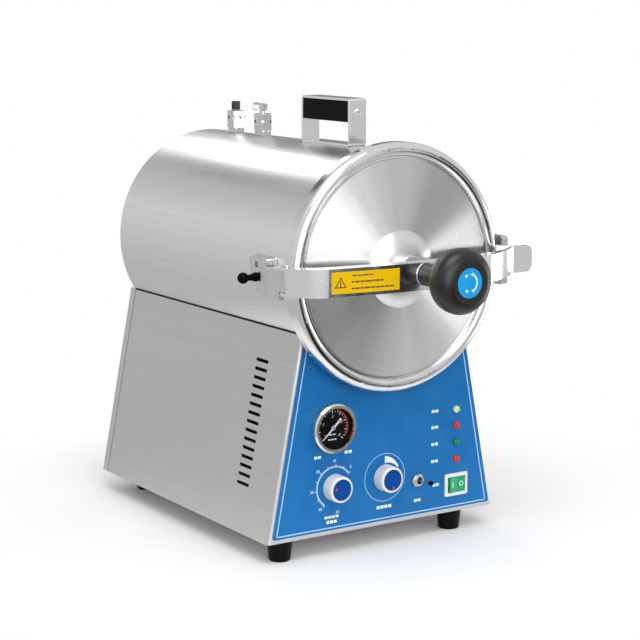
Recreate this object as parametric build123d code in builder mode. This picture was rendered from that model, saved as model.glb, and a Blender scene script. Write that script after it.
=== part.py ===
from build123d import *
import math
import os

# Benchtop autoclave, 20-litre class: a horizontal pressure chamber in a drum casing, on a
# trapezoid cabinet with the controls. Millimetres, +Z up, the front faces -Y. The origin is
# on the table, under the middle of the whole object.
#
# Places are given from the chamber's axis where it meets the front of the lid: x to the
# right, y to the back, z up.

os.makedirs("parts", exist_ok=True)

AXIS_X = -12.0
LID_Y = -170.0
AXIS_Z = 346.5

# cabinet
SHEET = 1.5
BASE_Z = -320.5
BASE_HALF = 168.5
TOP_HALF = 120.0
TOP_Z = -70.0
PANEL_Y = 28.5
SEAM_Y = 445.5
REAR_Y = 462.0
SEAM_GAP = 1.5
CORNER_R = 5.0
FLANGE = 15.0
OVERLAY_INSET = 5.5
OVERLAY_THICK = 0.6
OVERLAY_Y = PANEL_Y - OVERLAY_THICK
SLOPE = (BASE_HALF - TOP_HALF) / (TOP_Z - BASE_Z)

# drum, chamber and lid
DRUM_R = 139.5
DRUM_WALL = 1.2
DRUM_BACK = 452.0
VESSEL_R = 125.0
VESSEL_WALL = 2.5
VESSEL_BACK = 432.0
FLANGE_R = 145.0
FLANGE_Y = 18.6
LID_R = 150.0
LID_BACK = 18.0

# arm, hinge and handwheel
ARM_TOP = 14.5
ARM_BOTTOM = -18.5
ARM_MIDDLE = (ARM_TOP + ARM_BOTTOM) / 2
ARM_FACE = -54.0
ARM_WALL = 3.5
HINGE_X = -159.0
HINGE_Y = -1.0
RUNNING = 0.06
SPINDLE_R = 8.0
WHEEL_R = 38.0
WHEEL_FRONT = -136.0

# controls on the front panel, as (x, z)
GAUGE = (-79.0, -188.0)
GAUGE_R = 30.0
TIMER = (-74.0, -262.5)
THERMOSTAT = (0.0, -261.0)
KNOB_R = 16.6
SHAFT_R = 3.0
TOGGLE = (48.0, -271.0)
ROCKER = (108.5, -285.0)
LAMP_X = 108.5
LAMP_Z = (-188.7, -209.2, -230.6, -252.4)

# fittings on top of the drum, as distances behind the lid's front
RELIEF_Y = 310.0
VENT_Y = 379.0
PIPE_R = 6.0


def facing_front(y):
    """Plane across the chamber, drawn in x and z; a positive extrusion comes forward."""
    return Plane(origin=(AXIS_X, LID_Y + y, AXIS_Z), x_dir=(1, 0, 0), z_dir=(0, -1, 0))


def facing_right(x):
    """Plane along the chamber, drawn in y and z; a positive extrusion goes right."""
    return Plane(origin=(AXIS_X + x, LID_Y, AXIS_Z), x_dir=(0, 1, 0), z_dir=(1, 0, 0))


def facing_up(z):
    """Level plane, drawn in x and y; a positive extrusion goes up."""
    return Plane(origin=(AXIS_X, LID_Y, AXIS_Z + z), x_dir=(1, 0, 0), z_dir=(0, 0, 1))


def axis_to_back(x=0.0, z=0.0):
    """Line through (x, z) from front to back, for turned parts."""
    return Axis((AXIS_X + x, LID_Y, AXIS_Z + z), (0, 1, 0))


def axis_to_right(y, z):
    """Line through (y, z) from left to right."""
    return Axis((AXIS_X, LID_Y + y, AXIS_Z + z), (1, 0, 0))


def cabinet_half(z):
    """Half the cabinet's outer width at height z."""
    return BASE_HALF - SLOPE * (z - BASE_Z)


def trapezoid(inset, low, high):
    """Corners of the cabinet's front outline between two heights, moved in at the sides."""
    low_half = cabinet_half(low) - inset
    high_half = cabinet_half(high) - inset
    return [(-low_half, low), (low_half, low), (high_half, high), (-high_half, high)]


# ---------------------------------------------------------------- cabinet

VENT_COUNT = 15
VENT_PITCH = 10.6
VENT_LENGTH = 28.0
VENT_HEIGHT = 4.0
VENT_MIDDLE_Y = 103.0
VENT_MIDDLE_Z = -188.3
PANEL_REACH = 12.0


def side_panel(label, side):
    """Leaning sheet side with a rounded front corner and a narrow front flange."""
    height = TOP_Z + PANEL_REACH - BASE_Z
    lean = math.atan(SLOPE)
    with BuildPart() as panel:
        with BuildSketch(facing_up(BASE_Z)):
            with BuildLine():
                FilletPolyline(
                    (side * (BASE_HALF - FLANGE), PANEL_Y),
                    (side * BASE_HALF, PANEL_Y),
                    (side * BASE_HALF, SEAM_Y),
                    radius=CORNER_R,
                )
                offset(amount=SHEET, side=Side.LEFT if side > 0 else Side.RIGHT)
            make_face()
        extrude(amount=height / math.cos(lean), dir=(-side * math.sin(lean), 0, math.cos(lean)))
        with BuildSketch(facing_front(0)):
            Circle(DRUM_R + 0.2)
        extrude(amount=-DRUM_BACK, mode=Mode.SUBTRACT)
        with BuildSketch(facing_right(side * (BASE_HALF + 5))):
            with Locations((VENT_MIDDLE_Y, VENT_MIDDLE_Z)):
                with GridLocations(1, VENT_PITCH, 1, VENT_COUNT):
                    SlotOverall(VENT_LENGTH, VENT_HEIGHT)
        extrude(amount=-side * (BASE_HALF - TOP_HALF + 10), mode=Mode.SUBTRACT)
    panel.part.label = label
    export_step(panel.part, f"parts/{label}.step")


side_panel("side_panel_left", -1)
side_panel("side_panel_right", 1)

# holes that the front sheet and its overlay share: gauge, knob shafts, toggle, lamps, rocker
GAUGE_HOLE_R = 27.4
SHAFT_HOLE_R = 5.0
TOGGLE_HOLE_R = 6.2
LAMP_HOLE_R = 4.2
SWITCH_HOLE = (30.4, 24.4)


def cut_control_holes(from_y, depth):
    """Cuts the holes for the controls out of the sheet being built."""
    with BuildSketch(facing_front(from_y)) as holes:
        with Locations(GAUGE):
            Circle(GAUGE_HOLE_R)
        with Locations(TIMER, THERMOSTAT):
            Circle(SHAFT_HOLE_R)
        with Locations(TOGGLE):
            Circle(TOGGLE_HOLE_R)
        with Locations(*[(LAMP_X, z) for z in LAMP_Z]):
            Circle(LAMP_HOLE_R)
        with Locations(ROCKER):
            Rectangle(*SWITCH_HOLE)
    extrude(holes.sketch, amount=-depth, mode=Mode.SUBTRACT)


with BuildPart() as front_panel:
    with BuildSketch(facing_front(PANEL_Y)):
        Polygon(*trapezoid(FLANGE + 0.3, BASE_Z, TOP_Z), align=None)
        Circle(DRUM_R + 0.5, mode=Mode.SUBTRACT)
    extrude(amount=-SHEET)
    cut_control_holes(PANEL_Y, SHEET)
front_panel.part.label = "front_panel"
export_step(front_panel.part, "parts/front_panel.step")

with BuildPart() as front_overlay:
    with BuildSketch(facing_front(OVERLAY_Y)) as overlay_outline:
        Polygon(*trapezoid(OVERLAY_INSET, BASE_Z + 5, TOP_Z), align=None)
        fillet(overlay_outline.vertices().group_by(Axis.Y)[0], 3)
        Circle(FLANGE_R + 0.6, mode=Mode.SUBTRACT)
    extrude(amount=-OVERLAY_THICK)
    cut_control_holes(OVERLAY_Y, OVERLAY_THICK)
front_overlay.part.label = "front_overlay"
export_step(front_overlay.part, "parts/front_overlay.step")

INLET = (-70.0, -262.0)
INLET_BODY = (27.0, 20.0)
DRAIN = (62.0, -272.0)
DRAIN_HOLE_R = 7.2
REAR_FRONT_Y = SEAM_Y + SEAM_GAP

with BuildPart() as rear_panel:
    with BuildSketch(facing_front(REAR_FRONT_Y)):
        Polygon(*trapezoid(0, BASE_Z, TOP_Z + PANEL_REACH), align=None)
    extrude(amount=REAR_FRONT_Y - REAR_Y)
    back_edges = rear_panel.faces().sort_by(Axis.Y)[-1].edges()
    fillet(back_edges.filter_by(lambda edge: abs(edge.tangent_at(0.5).Z) > 0.5), 3)
    offset(amount=-SHEET, openings=rear_panel.faces().sort_by(Axis.Y)[0])
    with BuildSketch(facing_front(0)):
        Circle(DRUM_R + 0.2)
    extrude(amount=-REAR_Y - 1, mode=Mode.SUBTRACT)
    with BuildSketch(facing_front(REAR_FRONT_Y)):
        with Locations(INLET):
            Rectangle(INLET_BODY[0] + 0.4, INLET_BODY[1] + 0.4)
        with Locations(DRAIN):
            Circle(DRAIN_HOLE_R)
    extrude(amount=REAR_FRONT_Y - REAR_Y - 1, mode=Mode.SUBTRACT)
rear_panel.part.label = "rear_panel"
export_step(rear_panel.part, "parts/rear_panel.step")

PAN_HALF = 164.5
PAN_FRONT = PANEL_Y + SHEET + 0.5
PAN_BACK = SEAM_Y - 1.0
PAN_LIP = 14.0
FEET = [(-140.0, 47.0), (113.0, 47.0), (-119.0, 426.0), (92.0, 426.0)]
FOOT_SCREW_R = 3.0

with BuildPart() as base_pan:
    with BuildSketch(facing_up(BASE_Z)):
        with Locations((0, (PAN_FRONT + PAN_BACK) / 2)):
            Rectangle(2 * PAN_HALF, PAN_BACK - PAN_FRONT)
    extrude(amount=PAN_LIP, taper=math.degrees(math.atan(SLOPE)))
    offset(amount=-SHEET, openings=base_pan.faces().sort_by(Axis.Z)[-1])
    with BuildSketch(facing_up(BASE_Z)):
        with Locations(*FEET):
            Circle(FOOT_SCREW_R + 0.3)
    extrude(amount=SHEET, mode=Mode.SUBTRACT)
base_pan.part.label = "base_pan"
export_step(base_pan.part, "parts/base_pan.step")

FOOT_TOP_R = 16.0
FOOT_BOTTOM_R = 13.0
FOOT_HEIGHT = AXIS_Z + BASE_Z

with BuildPart() as feet:
    with BuildSketch(facing_up(BASE_Z)):
        with Locations(*FEET):
            Circle(FOOT_TOP_R)
    extrude(amount=-FOOT_HEIGHT, taper=math.degrees(math.atan((FOOT_TOP_R - FOOT_BOTTOM_R) / FOOT_HEIGHT)))
    chamfer(feet.edges().group_by(Axis.Z)[0], 1.2)
    with BuildSketch(facing_up(BASE_Z - 14)):
        with Locations(*FEET):
            Circle(FOOT_SCREW_R)
    extrude(amount=14, mode=Mode.SUBTRACT)
feet.part.label = "feet"
export_step(feet.part, "parts/feet.step")

with BuildPart() as foot_screws:
    with BuildSketch(facing_up(BASE_Z - 14)):
        with Locations(*FEET):
            Circle(FOOT_SCREW_R)
    extrude(amount=14 + SHEET)
    with BuildSketch(facing_up(BASE_Z + SHEET)):
        with Locations(*FEET):
            RegularPolygon(5.5, 6)
    extrude(amount=4)
foot_screws.part.label = "foot_screws"
export_step(foot_screws.part, "parts/foot_screws.step")

# ---------------------------------------------------------------- drum and chamber


def turned(points, turning_axis, x=0.0, z=0.0):
    """Solid turned about a front-to-back line, from an outline of (y, radius) points."""
    with BuildPart() as piece:
        with BuildSketch(facing_right(x)):
            with Locations((0, z)):
                Polygon(*points, align=None)
        revolve(axis=turning_axis)
    return piece


with BuildPart() as drum_casing:
    with BuildSketch(facing_front(PANEL_Y)):
        Circle(DRUM_R)
        Circle(DRUM_R - DRUM_WALL, mode=Mode.SUBTRACT)
    extrude(amount=PANEL_Y - DRUM_BACK)
    with BuildSketch(facing_up(DRUM_R - 10)):
        with Locations((0, RELIEF_Y), (0, VENT_Y)):
            Circle(PIPE_R + 0.3)
    extrude(amount=20, mode=Mode.SUBTRACT)
drum_casing.part.label = "drum_casing"
export_step(drum_casing.part, "parts/drum_casing.step")

COVER_R = DRUM_R - DRUM_WALL - 0.1
COVER_RIM = 8.0

with BuildPart() as drum_rear_cover:
    with BuildSketch(facing_front(DRUM_BACK)):
        Circle(COVER_R)
    extrude(amount=COVER_RIM)
    fillet(drum_rear_cover.edges().filter_by(GeomType.CIRCLE).sort_by(Axis.Y)[-1], 3)
    offset(amount=-SHEET, openings=drum_rear_cover.faces().sort_by(Axis.Y)[0])
drum_rear_cover.part.label = "drum_rear_cover"
export_step(drum_rear_cover.part, "parts/drum_rear_cover.step")

VESSEL_OUTER_R = VESSEL_R + VESSEL_WALL
DISH_R = 32.0

with BuildPart() as chamber_vessel:
    with BuildSketch(facing_front(FLANGE_Y)):
        Circle(VESSEL_OUTER_R)
    extrude(amount=FLANGE_Y - VESSEL_BACK - VESSEL_WALL)
    fillet(chamber_vessel.edges().filter_by(GeomType.CIRCLE).sort_by(Axis.Y)[-1], DISH_R)
    offset(amount=-VESSEL_WALL, openings=chamber_vessel.faces().sort_by(Axis.Y)[0])
    with BuildSketch(facing_up(VESSEL_R - 10)):
        with Locations((0, RELIEF_Y), (0, VENT_Y)):
            Circle(PIPE_R)
    extrude(amount=20, mode=Mode.SUBTRACT)
chamber_vessel.part.label = "chamber_vessel"
export_step(chamber_vessel.part, "parts/chamber_vessel.step")

FLANGE_BACK = PANEL_Y - 0.1

chamber_flange = turned(
    [
        (FLANGE_Y, VESSEL_OUTER_R),
        (FLANGE_Y, FLANGE_R - 2),
        (FLANGE_Y + 2, FLANGE_R),
        (FLANGE_BACK - 1, FLANGE_R),
        (FLANGE_BACK, FLANGE_R - 1),
        (FLANGE_BACK, VESSEL_OUTER_R),
    ],
    axis_to_back(),
)
chamber_flange.part.label = "chamber_flange"
export_step(chamber_flange.part, "parts/chamber_flange.step")

JACKET_R = DRUM_R - DRUM_WALL - 0.4
JACKET_INNER_R = VESSEL_OUTER_R + 0.5
JACKET_FRONT = 31.0
JACKET_INNER_BACK = VESSEL_BACK + VESSEL_WALL + 0.5
JACKET_BACK = DRUM_BACK - COVER_RIM - 0.5

with BuildPart() as insulation_jacket:
    with BuildSketch(facing_right(0)):
        Polygon(
            (JACKET_FRONT, JACKET_INNER_R),
            (JACKET_FRONT, JACKET_R),
            (JACKET_BACK, JACKET_R),
            (JACKET_BACK, 0),
            (JACKET_INNER_BACK, 0),
            (JACKET_INNER_BACK, JACKET_INNER_R),
            align=None,
        )
    revolve(axis=axis_to_back())
    with BuildSketch(facing_up(VESSEL_R)):
        with Locations((0, RELIEF_Y), (0, VENT_Y)):
            Circle(PIPE_R + 0.3)
    extrude(amount=20, mode=Mode.SUBTRACT)
insulation_jacket.part.label = "insulation_jacket"
export_step(insulation_jacket.part, "parts/insulation_jacket.step")

SUPPORT_HALF = 60.0
SUPPORT_THICK = 3.0
SUPPORT_Y = (110.0, 370.0)

with BuildPart() as chamber_supports:
    for support_y in SUPPORT_Y:
        with BuildSketch(facing_front(support_y)):
            Polygon(
                (-SUPPORT_HALF, BASE_Z + SHEET),
                (SUPPORT_HALF, BASE_Z + SHEET),
                (SUPPORT_HALF, -DRUM_R / 2),
                (-SUPPORT_HALF, -DRUM_R / 2),
                align=None,
            )
            Circle(DRUM_R + 0.05, mode=Mode.SUBTRACT)
            with Locations((0, -235)):
                RectangleRounded(70, 90, 12, mode=Mode.SUBTRACT)
        extrude(amount=-SUPPORT_THICK)
chamber_supports.part.label = "chamber_supports"
export_step(chamber_supports.part, "parts/chamber_supports.step")

HEATER_R = 4.0
HEATER_HALF = 35.0
HEATER_Z = -106.0
HEATER_FRONT = 60.0
HEATER_BACK = 405.0

with BuildPart() as heater_element:
    with BuildLine(facing_up(HEATER_Z)):
        FilletPolyline(
            (-HEATER_HALF, HEATER_BACK),
            (-HEATER_HALF, HEATER_FRONT),
            (HEATER_HALF, HEATER_FRONT),
            (HEATER_HALF, HEATER_BACK),
            radius=HEATER_HALF - 5,
        )
    with BuildSketch(facing_front(HEATER_BACK)):
        with Locations((-HEATER_HALF, HEATER_Z)):
            Circle(HEATER_R)
    sweep()
    with BuildSketch(facing_front(HEATER_BACK)):
        with Locations((-HEATER_HALF, HEATER_Z), (HEATER_HALF, HEATER_Z)):
            RegularPolygon(8, 6)
    extrude(amount=-8)
heater_element.part.label = "heater_element"
export_step(heater_element.part, "parts/heater_element.step")

RACK_HALF = 92.0
RACK_PLATE = 1.5
RACK_LOW = -82.0
RACK_HIGH = 66.0
RACK_FRONT = 60.0
RACK_BACK = 395.0
RUNNER = 8.0
TRAY_LEVELS = (-52.0, 12.0)
RACK_MIDDLE = (RACK_FRONT + RACK_BACK) / 2
RACK_LENGTH = RACK_BACK - RACK_FRONT

with BuildPart() as tray_rack:
    with BuildSketch(facing_right(-RACK_HALF - RACK_PLATE)):
        with Locations((RACK_MIDDLE, (RACK_LOW + RACK_HIGH) / 2)):
            Rectangle(RACK_LENGTH, RACK_HIGH - RACK_LOW)
        with Locations((RACK_MIDDLE, -20.5), (RACK_MIDDLE, 38)):
            with GridLocations(104, 1, 3, 1):
                RectangleRounded(86, 34, 8, mode=Mode.SUBTRACT)
    extrude(amount=RACK_PLATE)
    for level in TRAY_LEVELS:
        with BuildSketch(facing_up(level - 1.2)):
            with Locations((-RACK_HALF + RUNNER / 2, RACK_MIDDLE)):
                Rectangle(RUNNER, RACK_LENGTH)
        extrude(amount=1.2)
    mirror(about=facing_right(0))
    with BuildSketch(facing_up(-70)):
        with Locations((0, RACK_FRONT + 8), (0, RACK_BACK - 8)):
            Rectangle(2 * RACK_HALF, 12)
    extrude(amount=SHEET)
tray_rack.part.label = "tray_rack"
export_step(tray_rack.part, "parts/tray_rack.step")

TRAY_HALF = 89.0
TRAY_LENGTH = 320.0
TRAY_DEPTH = 16.0
TRAY_WALL = 0.8


def tray(label, level):
    """Open tray with a pierced floor, lying on the rack's runners."""
    with BuildPart() as pan:
        with BuildSketch(facing_up(level)):
            with Locations((0, RACK_MIDDLE)):
                RectangleRounded(2 * TRAY_HALF, TRAY_LENGTH, 10)
        extrude(amount=TRAY_DEPTH)
        fillet(pan.edges().group_by(Axis.Z)[0], 3)
        offset(amount=-TRAY_WALL, openings=pan.faces().sort_by(Axis.Z)[-1])
        with BuildSketch(facing_up(level)):
            with Locations((0, RACK_MIDDLE)):
                with GridLocations(26, 40, 6, 7):
                    Circle(4)
        extrude(amount=TRAY_WALL + 1, mode=Mode.SUBTRACT)
    pan.part.label = label
    export_step(pan.part, f"parts/{label}.step")


tray("tray_lower", TRAY_LEVELS[0])
tray("tray_upper", TRAY_LEVELS[1])

# ---------------------------------------------------------------- carrying handle

HANDLE_FRONT = 89.0
HANDLE_BACK = 196.0
HANDLE_TOP = 197.0
HANDLE_WIDTH = 25.0
STRIP = 3.0
GRIP_HEIGHT = 26.0
HANDLE_MIDDLE = (HANDLE_FRONT + HANDLE_BACK) / 2
HANDLE_LENGTH = HANDLE_BACK - HANDLE_FRONT
HANDLE_FOOT = DRUM_R - 0.5
GRIP_MIDDLE_Z = HANDLE_TOP - STRIP - GRIP_HEIGHT / 2

with BuildPart() as handle_frame:
    with BuildSketch(facing_right(-HANDLE_WIDTH / 2)):
        with Locations((HANDLE_MIDDLE, (HANDLE_FOOT + HANDLE_TOP) / 2)):
            RectangleRounded(HANDLE_LENGTH, HANDLE_TOP - HANDLE_FOOT, 4)
            Rectangle(
                HANDLE_LENGTH - 2 * STRIP,
                HANDLE_TOP - HANDLE_FOOT - 2 * STRIP,
                mode=Mode.SUBTRACT,
            )
    extrude(amount=HANDLE_WIDTH)
    with BuildSketch(facing_front(0)):
        Circle(DRUM_R)
    extrude(amount=-DRUM_BACK, mode=Mode.SUBTRACT)
handle_frame.part.label = "handle_frame"
export_step(handle_frame.part, "parts/handle_frame.step")

with BuildPart() as handle_grip:
    with BuildSketch(facing_front(HANDLE_FRONT + STRIP)):
        with Locations((0, GRIP_MIDDLE_Z)):
            RectangleRounded(HANDLE_WIDTH - 1, GRIP_HEIGHT, 3)
    extrude(amount=2 * STRIP - HANDLE_LENGTH)
handle_grip.part.label = "handle_grip"
export_step(handle_grip.part, "parts/handle_grip.step")

SCREW_HEAD_R = 4.0

with BuildPart() as handle_screws:
    with BuildSketch(facing_front(HANDLE_FRONT)):
        with Locations((0, GRIP_MIDDLE_Z)):
            Circle(SCREW_HEAD_R)
    extrude(amount=2.2)
    with BuildSketch(facing_front(HANDLE_BACK)):
        with Locations((0, GRIP_MIDDLE_Z)):
            Circle(SCREW_HEAD_R)
    extrude(amount=-2.2)
    fillet(handle_screws.edges().group_by(Axis.Y)[0] + handle_screws.edges().group_by(Axis.Y)[-1], 1.6)
    with BuildSketch(facing_front(HANDLE_FRONT - 3)):
        with Locations((0, GRIP_MIDDLE_Z)):
            Rectangle(6, 1)
            Rectangle(1, 6)
    extrude(amount=-2, mode=Mode.SUBTRACT)
handle_screws.part.label = "handle_screws"
export_step(handle_screws.part, "parts/handle_screws.step")

# ---------------------------------------------------------------- valves on top

VALVE_SEAT = DRUM_R + 0.2
VALVE_R = 11.3
VALVE_HOLE_R = 2.2
VALVE_CORE_R = 6.0
PIPE_LOW = VESSEL_R - 2.0


def valve_body(y, sides, top, neck_r, neck_top, hole_z):
    """Faceted valve body on a pipe down into the chamber, with a blow-off hole in each face."""
    with BuildPart() as body:
        with BuildSketch(facing_up(PIPE_LOW)):
            with Locations((0, y)):
                Circle(PIPE_R)
        extrude(amount=VALVE_SEAT - PIPE_LOW)
        with BuildSketch(facing_up(VALVE_SEAT)):
            with Locations((0, y)):
                RegularPolygon(VALVE_R + 1, 6)
        extrude(amount=5)
        with BuildSketch(facing_up(VALVE_SEAT + 5)):
            with Locations((0, y)):
                Circle(VALVE_R - 2)
        extrude(amount=1.5)
        with BuildSketch(facing_up(VALVE_SEAT + 6.5)):
            with Locations((0, y)):
                RegularPolygon(VALVE_R, sides, major_radius=False)
        extrude(amount=top - VALVE_SEAT - 6.5)
        chamfer(body.faces().sort_by(Axis.Z)[-1].edges(), 1)
        for turn in range(sides):
            angle = turn * 2 * math.pi / sides
            outward = Vector(math.cos(angle), math.sin(angle), 0)
            middle = Vector(AXIS_X, LID_Y + y, AXIS_Z + hole_z)
            with BuildSketch(Plane(origin=middle + outward * VALVE_CORE_R, z_dir=outward)):
                Circle(VALVE_HOLE_R)
            extrude(amount=VALVE_R, mode=Mode.SUBTRACT)
        with BuildSketch(facing_up(top)):
            with Locations((0, y)):
                Circle(neck_r)
        extrude(amount=neck_top - top)
    return body


VENT_BODY_TOP = 168.5
VENT_STEM_R = 3.0
VENT_STEM_TOP = 177.0
VENT_CAP_LOW = 169.5
VENT_CAP_TOP = 181.0
VENT_CAP_R = 5.8
VENT_CAP_RIBS = 16

vent_valve_body = valve_body(VENT_Y, 8, VENT_BODY_TOP, VENT_STEM_R, VENT_STEM_TOP, 160.0)
vent_valve_body.part.label = "vent_valve_body"
export_step(vent_valve_body.part, "parts/vent_valve_body.step")

with BuildPart() as vent_valve_cap:
    with BuildSketch(facing_up(VENT_CAP_LOW)):
        with Locations((0, VENT_Y)):
            Circle(VENT_CAP_R)
            with PolarLocations(VENT_CAP_R, VENT_CAP_RIBS):
                Circle(0.55, mode=Mode.SUBTRACT)
    extrude(amount=VENT_CAP_TOP - VENT_CAP_LOW)
    with BuildSketch(facing_up(VENT_CAP_LOW)):
        with Locations((0, VENT_Y)):
            Circle(VENT_STEM_R + RUNNING)
    extrude(amount=VENT_STEM_TOP - VENT_CAP_LOW + 0.3, mode=Mode.SUBTRACT)
vent_valve_cap.part.label = "vent_valve_cap"
export_step(vent_valve_cap.part, "parts/vent_valve_cap.step")

RELIEF_BODY_TOP = 168.0
RELIEF_NECK_TOP = 171.5
LEVER_PIVOT_Y = RELIEF_Y - 2.0
LEVER_REACH = 20.0
LEVER_PIVOT_Z = 174.7
LEVER_PIN_R = 1.2

# the body ends in a lug that carries the lever's pin
with BuildPart() as relief_valve_body:
    add(valve_body(RELIEF_Y, 6, RELIEF_BODY_TOP, 4.5, RELIEF_NECK_TOP, 158.0).part)
    with BuildSketch(facing_right(-1.5)):
        with Locations((LEVER_PIVOT_Y, (RELIEF_NECK_TOP + LEVER_PIVOT_Z) / 2 + 0.6)):
            Rectangle(5, LEVER_PIVOT_Z - RELIEF_NECK_TOP + 1.2)
    extrude(amount=3)
    with BuildSketch(facing_right(-4.6)):
        with Locations((LEVER_PIVOT_Y, LEVER_PIVOT_Z)):
            Circle(LEVER_PIN_R)
    extrude(amount=9.2)
relief_valve_body.part.label = "relief_valve_body"
export_step(relief_valve_body.part, "parts/relief_valve_body.step")

with BuildPart() as relief_valve_lever:
    with BuildSketch(facing_right(-4.5)):
        with Locations((LEVER_PIVOT_Y, LEVER_PIVOT_Z)):
            Circle(2.6)
        Polygon(
            (LEVER_PIVOT_Y + 1, LEVER_PIVOT_Z + 0.8),
            (LEVER_PIVOT_Y - 2.5, LEVER_PIVOT_Z + 0.8),
            (LEVER_PIVOT_Y - 2.5, LEVER_PIVOT_Z + 6),
            (LEVER_PIVOT_Y + LEVER_REACH, LEVER_PIVOT_Z + 6),
            (LEVER_PIVOT_Y + LEVER_REACH, LEVER_PIVOT_Z + 4),
            (LEVER_PIVOT_Y + 1, LEVER_PIVOT_Z + 4),
            align=None,
        )
        with Locations((LEVER_PIVOT_Y, LEVER_PIVOT_Z)):
            Circle(LEVER_PIN_R + RUNNING, mode=Mode.SUBTRACT)
    extrude(amount=9)
    with BuildSketch(facing_right(-1.9)):
        with Locations((LEVER_PIVOT_Y, LEVER_PIVOT_Z)):
            Circle(3.4)
            Rectangle(7, 6, align=(Align.CENTER, Align.MAX))
    extrude(amount=3.8, mode=Mode.SUBTRACT)
relief_valve_lever.part.label = "relief_valve_lever"
export_step(relief_valve_lever.part, "parts/relief_valve_lever.step")

# ---------------------------------------------------------------- controls

BEZEL_FRONT = 15.5
BEZEL_BACK = OVERLAY_Y - 0.05
DIAL_Y = 25.0
GAUGE_INNER_R = 26.2
GAUGE_BODY_R = 27.0
GAUGE_BACK = 60.0

gauge_case = turned(
    [
        (BEZEL_FRONT, GAUGE_R - 5),
        (BEZEL_FRONT, GAUGE_R - 2),
        (BEZEL_FRONT + 2, GAUGE_R),
        (BEZEL_BACK, GAUGE_R),
        (BEZEL_BACK, GAUGE_BODY_R),
        (GAUGE_BACK, GAUGE_BODY_R),
        (GAUGE_BACK, 5),
        (GAUGE_BACK + 12, 5),
        (GAUGE_BACK + 12, 0),
        (GAUGE_BACK - 2, 0),
        (GAUGE_BACK - 2, GAUGE_INNER_R),
        (BEZEL_FRONT + 1.5, GAUGE_INNER_R),
        (BEZEL_FRONT + 1.5, GAUGE_R - 5),
    ],
    axis_to_back(*GAUGE),
    *GAUGE,
)
gauge_case.part.label = "gauge_case"
export_step(gauge_case.part, "parts/gauge_case.step")

GLASS_Y = BEZEL_FRONT + 1.6
GLASS_THICK = 1.5
NEEDLE_Y = 22.0
NEEDLE_PIN_R = 1.0

with BuildPart() as gauge_glass:
    with BuildSketch(facing_front(GLASS_Y)):
        with Locations(GAUGE):
            Circle(GAUGE_INNER_R - 0.05)
    extrude(amount=-GLASS_THICK)
gauge_glass.part.label = "gauge_glass"
export_step(gauge_glass.part, "parts/gauge_glass.step")

with BuildPart() as gauge_dial:
    with BuildSketch(facing_front(DIAL_Y)):
        with Locations(GAUGE):
            Circle(GAUGE_INNER_R - 0.05)
    extrude(amount=-1)
    with BuildSketch(facing_front(DIAL_Y)):
        with Locations(GAUGE):
            Circle(NEEDLE_PIN_R)
    extrude(amount=DIAL_Y - NEEDLE_Y + 0.8)
gauge_dial.part.label = "gauge_dial"
export_step(gauge_dial.part, "parts/gauge_dial.step")

NEEDLE_ANGLE = math.radians(223)
NEEDLE_LENGTH = 20.0
NEEDLE_TAIL = 15.0


def along_needle(distance, aside):
    """Point on the dial at a distance along the needle and to its side."""
    x = GAUGE[0] + distance * math.cos(NEEDLE_ANGLE) - aside * math.sin(NEEDLE_ANGLE)
    z = GAUGE[1] + distance * math.sin(NEEDLE_ANGLE) + aside * math.cos(NEEDLE_ANGLE)
    return (x, z)


with BuildPart() as gauge_needle:
    with BuildSketch(facing_front(NEEDLE_Y)):
        Polygon(
            along_needle(NEEDLE_LENGTH, 0.3),
            along_needle(NEEDLE_LENGTH, -0.3),
            along_needle(0, -1.2),
            along_needle(-NEEDLE_TAIL, -1.6),
            along_needle(-NEEDLE_TAIL, 1.6),
            along_needle(0, 1.2),
            align=None,
        )
        with Locations(GAUGE):
            Circle(2.6)
            Circle(NEEDLE_PIN_R + RUNNING, mode=Mode.SUBTRACT)
    extrude(amount=-0.8)
gauge_needle.part.label = "gauge_needle"
export_step(gauge_needle.part, "parts/gauge_needle.step")

KNOB_BACK = 27.3
KNOB_FRONT = 10.5
CAP_R = 13.0
CAP_RECESS = 1.0
MECHANISM_Y = PANEL_Y + SHEET + 0.2
MECHANISM_DEPTH = 32.0
SHAFT_DEPTH = 22.0


def control(x, z, knob_label, cap_label, body_label):
    """Turning knob with a coloured cap, on a shaft in its mechanism behind the panel."""
    knob = turned(
        [
            (KNOB_FRONT + CAP_RECESS, 0),
            (KNOB_FRONT + CAP_RECESS, CAP_R),
            (KNOB_FRONT, CAP_R + 0.3),
            (KNOB_FRONT, KNOB_R - 2),
            (KNOB_FRONT + 1.5, KNOB_R - 0.6),
            (KNOB_BACK, KNOB_R),
            (KNOB_BACK, SHAFT_R),
            (MECHANISM_Y + SHAFT_DEPTH, SHAFT_R),
            (MECHANISM_Y + SHAFT_DEPTH, 0),
        ],
        axis_to_back(x, z),
        x,
        z,
    )
    knob.part.label = knob_label
    export_step(knob.part, f"parts/{knob_label}.step")
    with BuildPart() as cap:
        with BuildSketch(facing_front(KNOB_FRONT + CAP_RECESS)):
            with Locations((x, z)):
                Circle(CAP_R - 0.1)
        extrude(amount=0.8)
    cap.part.label = cap_label
    export_step(cap.part, f"parts/{cap_label}.step")
    with BuildPart() as body:
        with BuildSketch(facing_front(MECHANISM_Y)):
            with Locations((x, z)):
                RectangleRounded(46, 40, 4)
        extrude(amount=-MECHANISM_DEPTH)
        with BuildSketch(facing_front(MECHANISM_Y)):
            with Locations((x, z)):
                Circle(SHAFT_R + RUNNING)
        extrude(amount=-SHAFT_DEPTH - 0.5, mode=Mode.SUBTRACT)
    body.part.label = body_label
    export_step(body.part, f"parts/{body_label}.step")


control(*TIMER, "timer_knob", "timer_knob_cap", "timer_mechanism")
control(*THERMOSTAT, "thermostat_knob", "thermostat_knob_cap", "thermostat_body")

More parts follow.
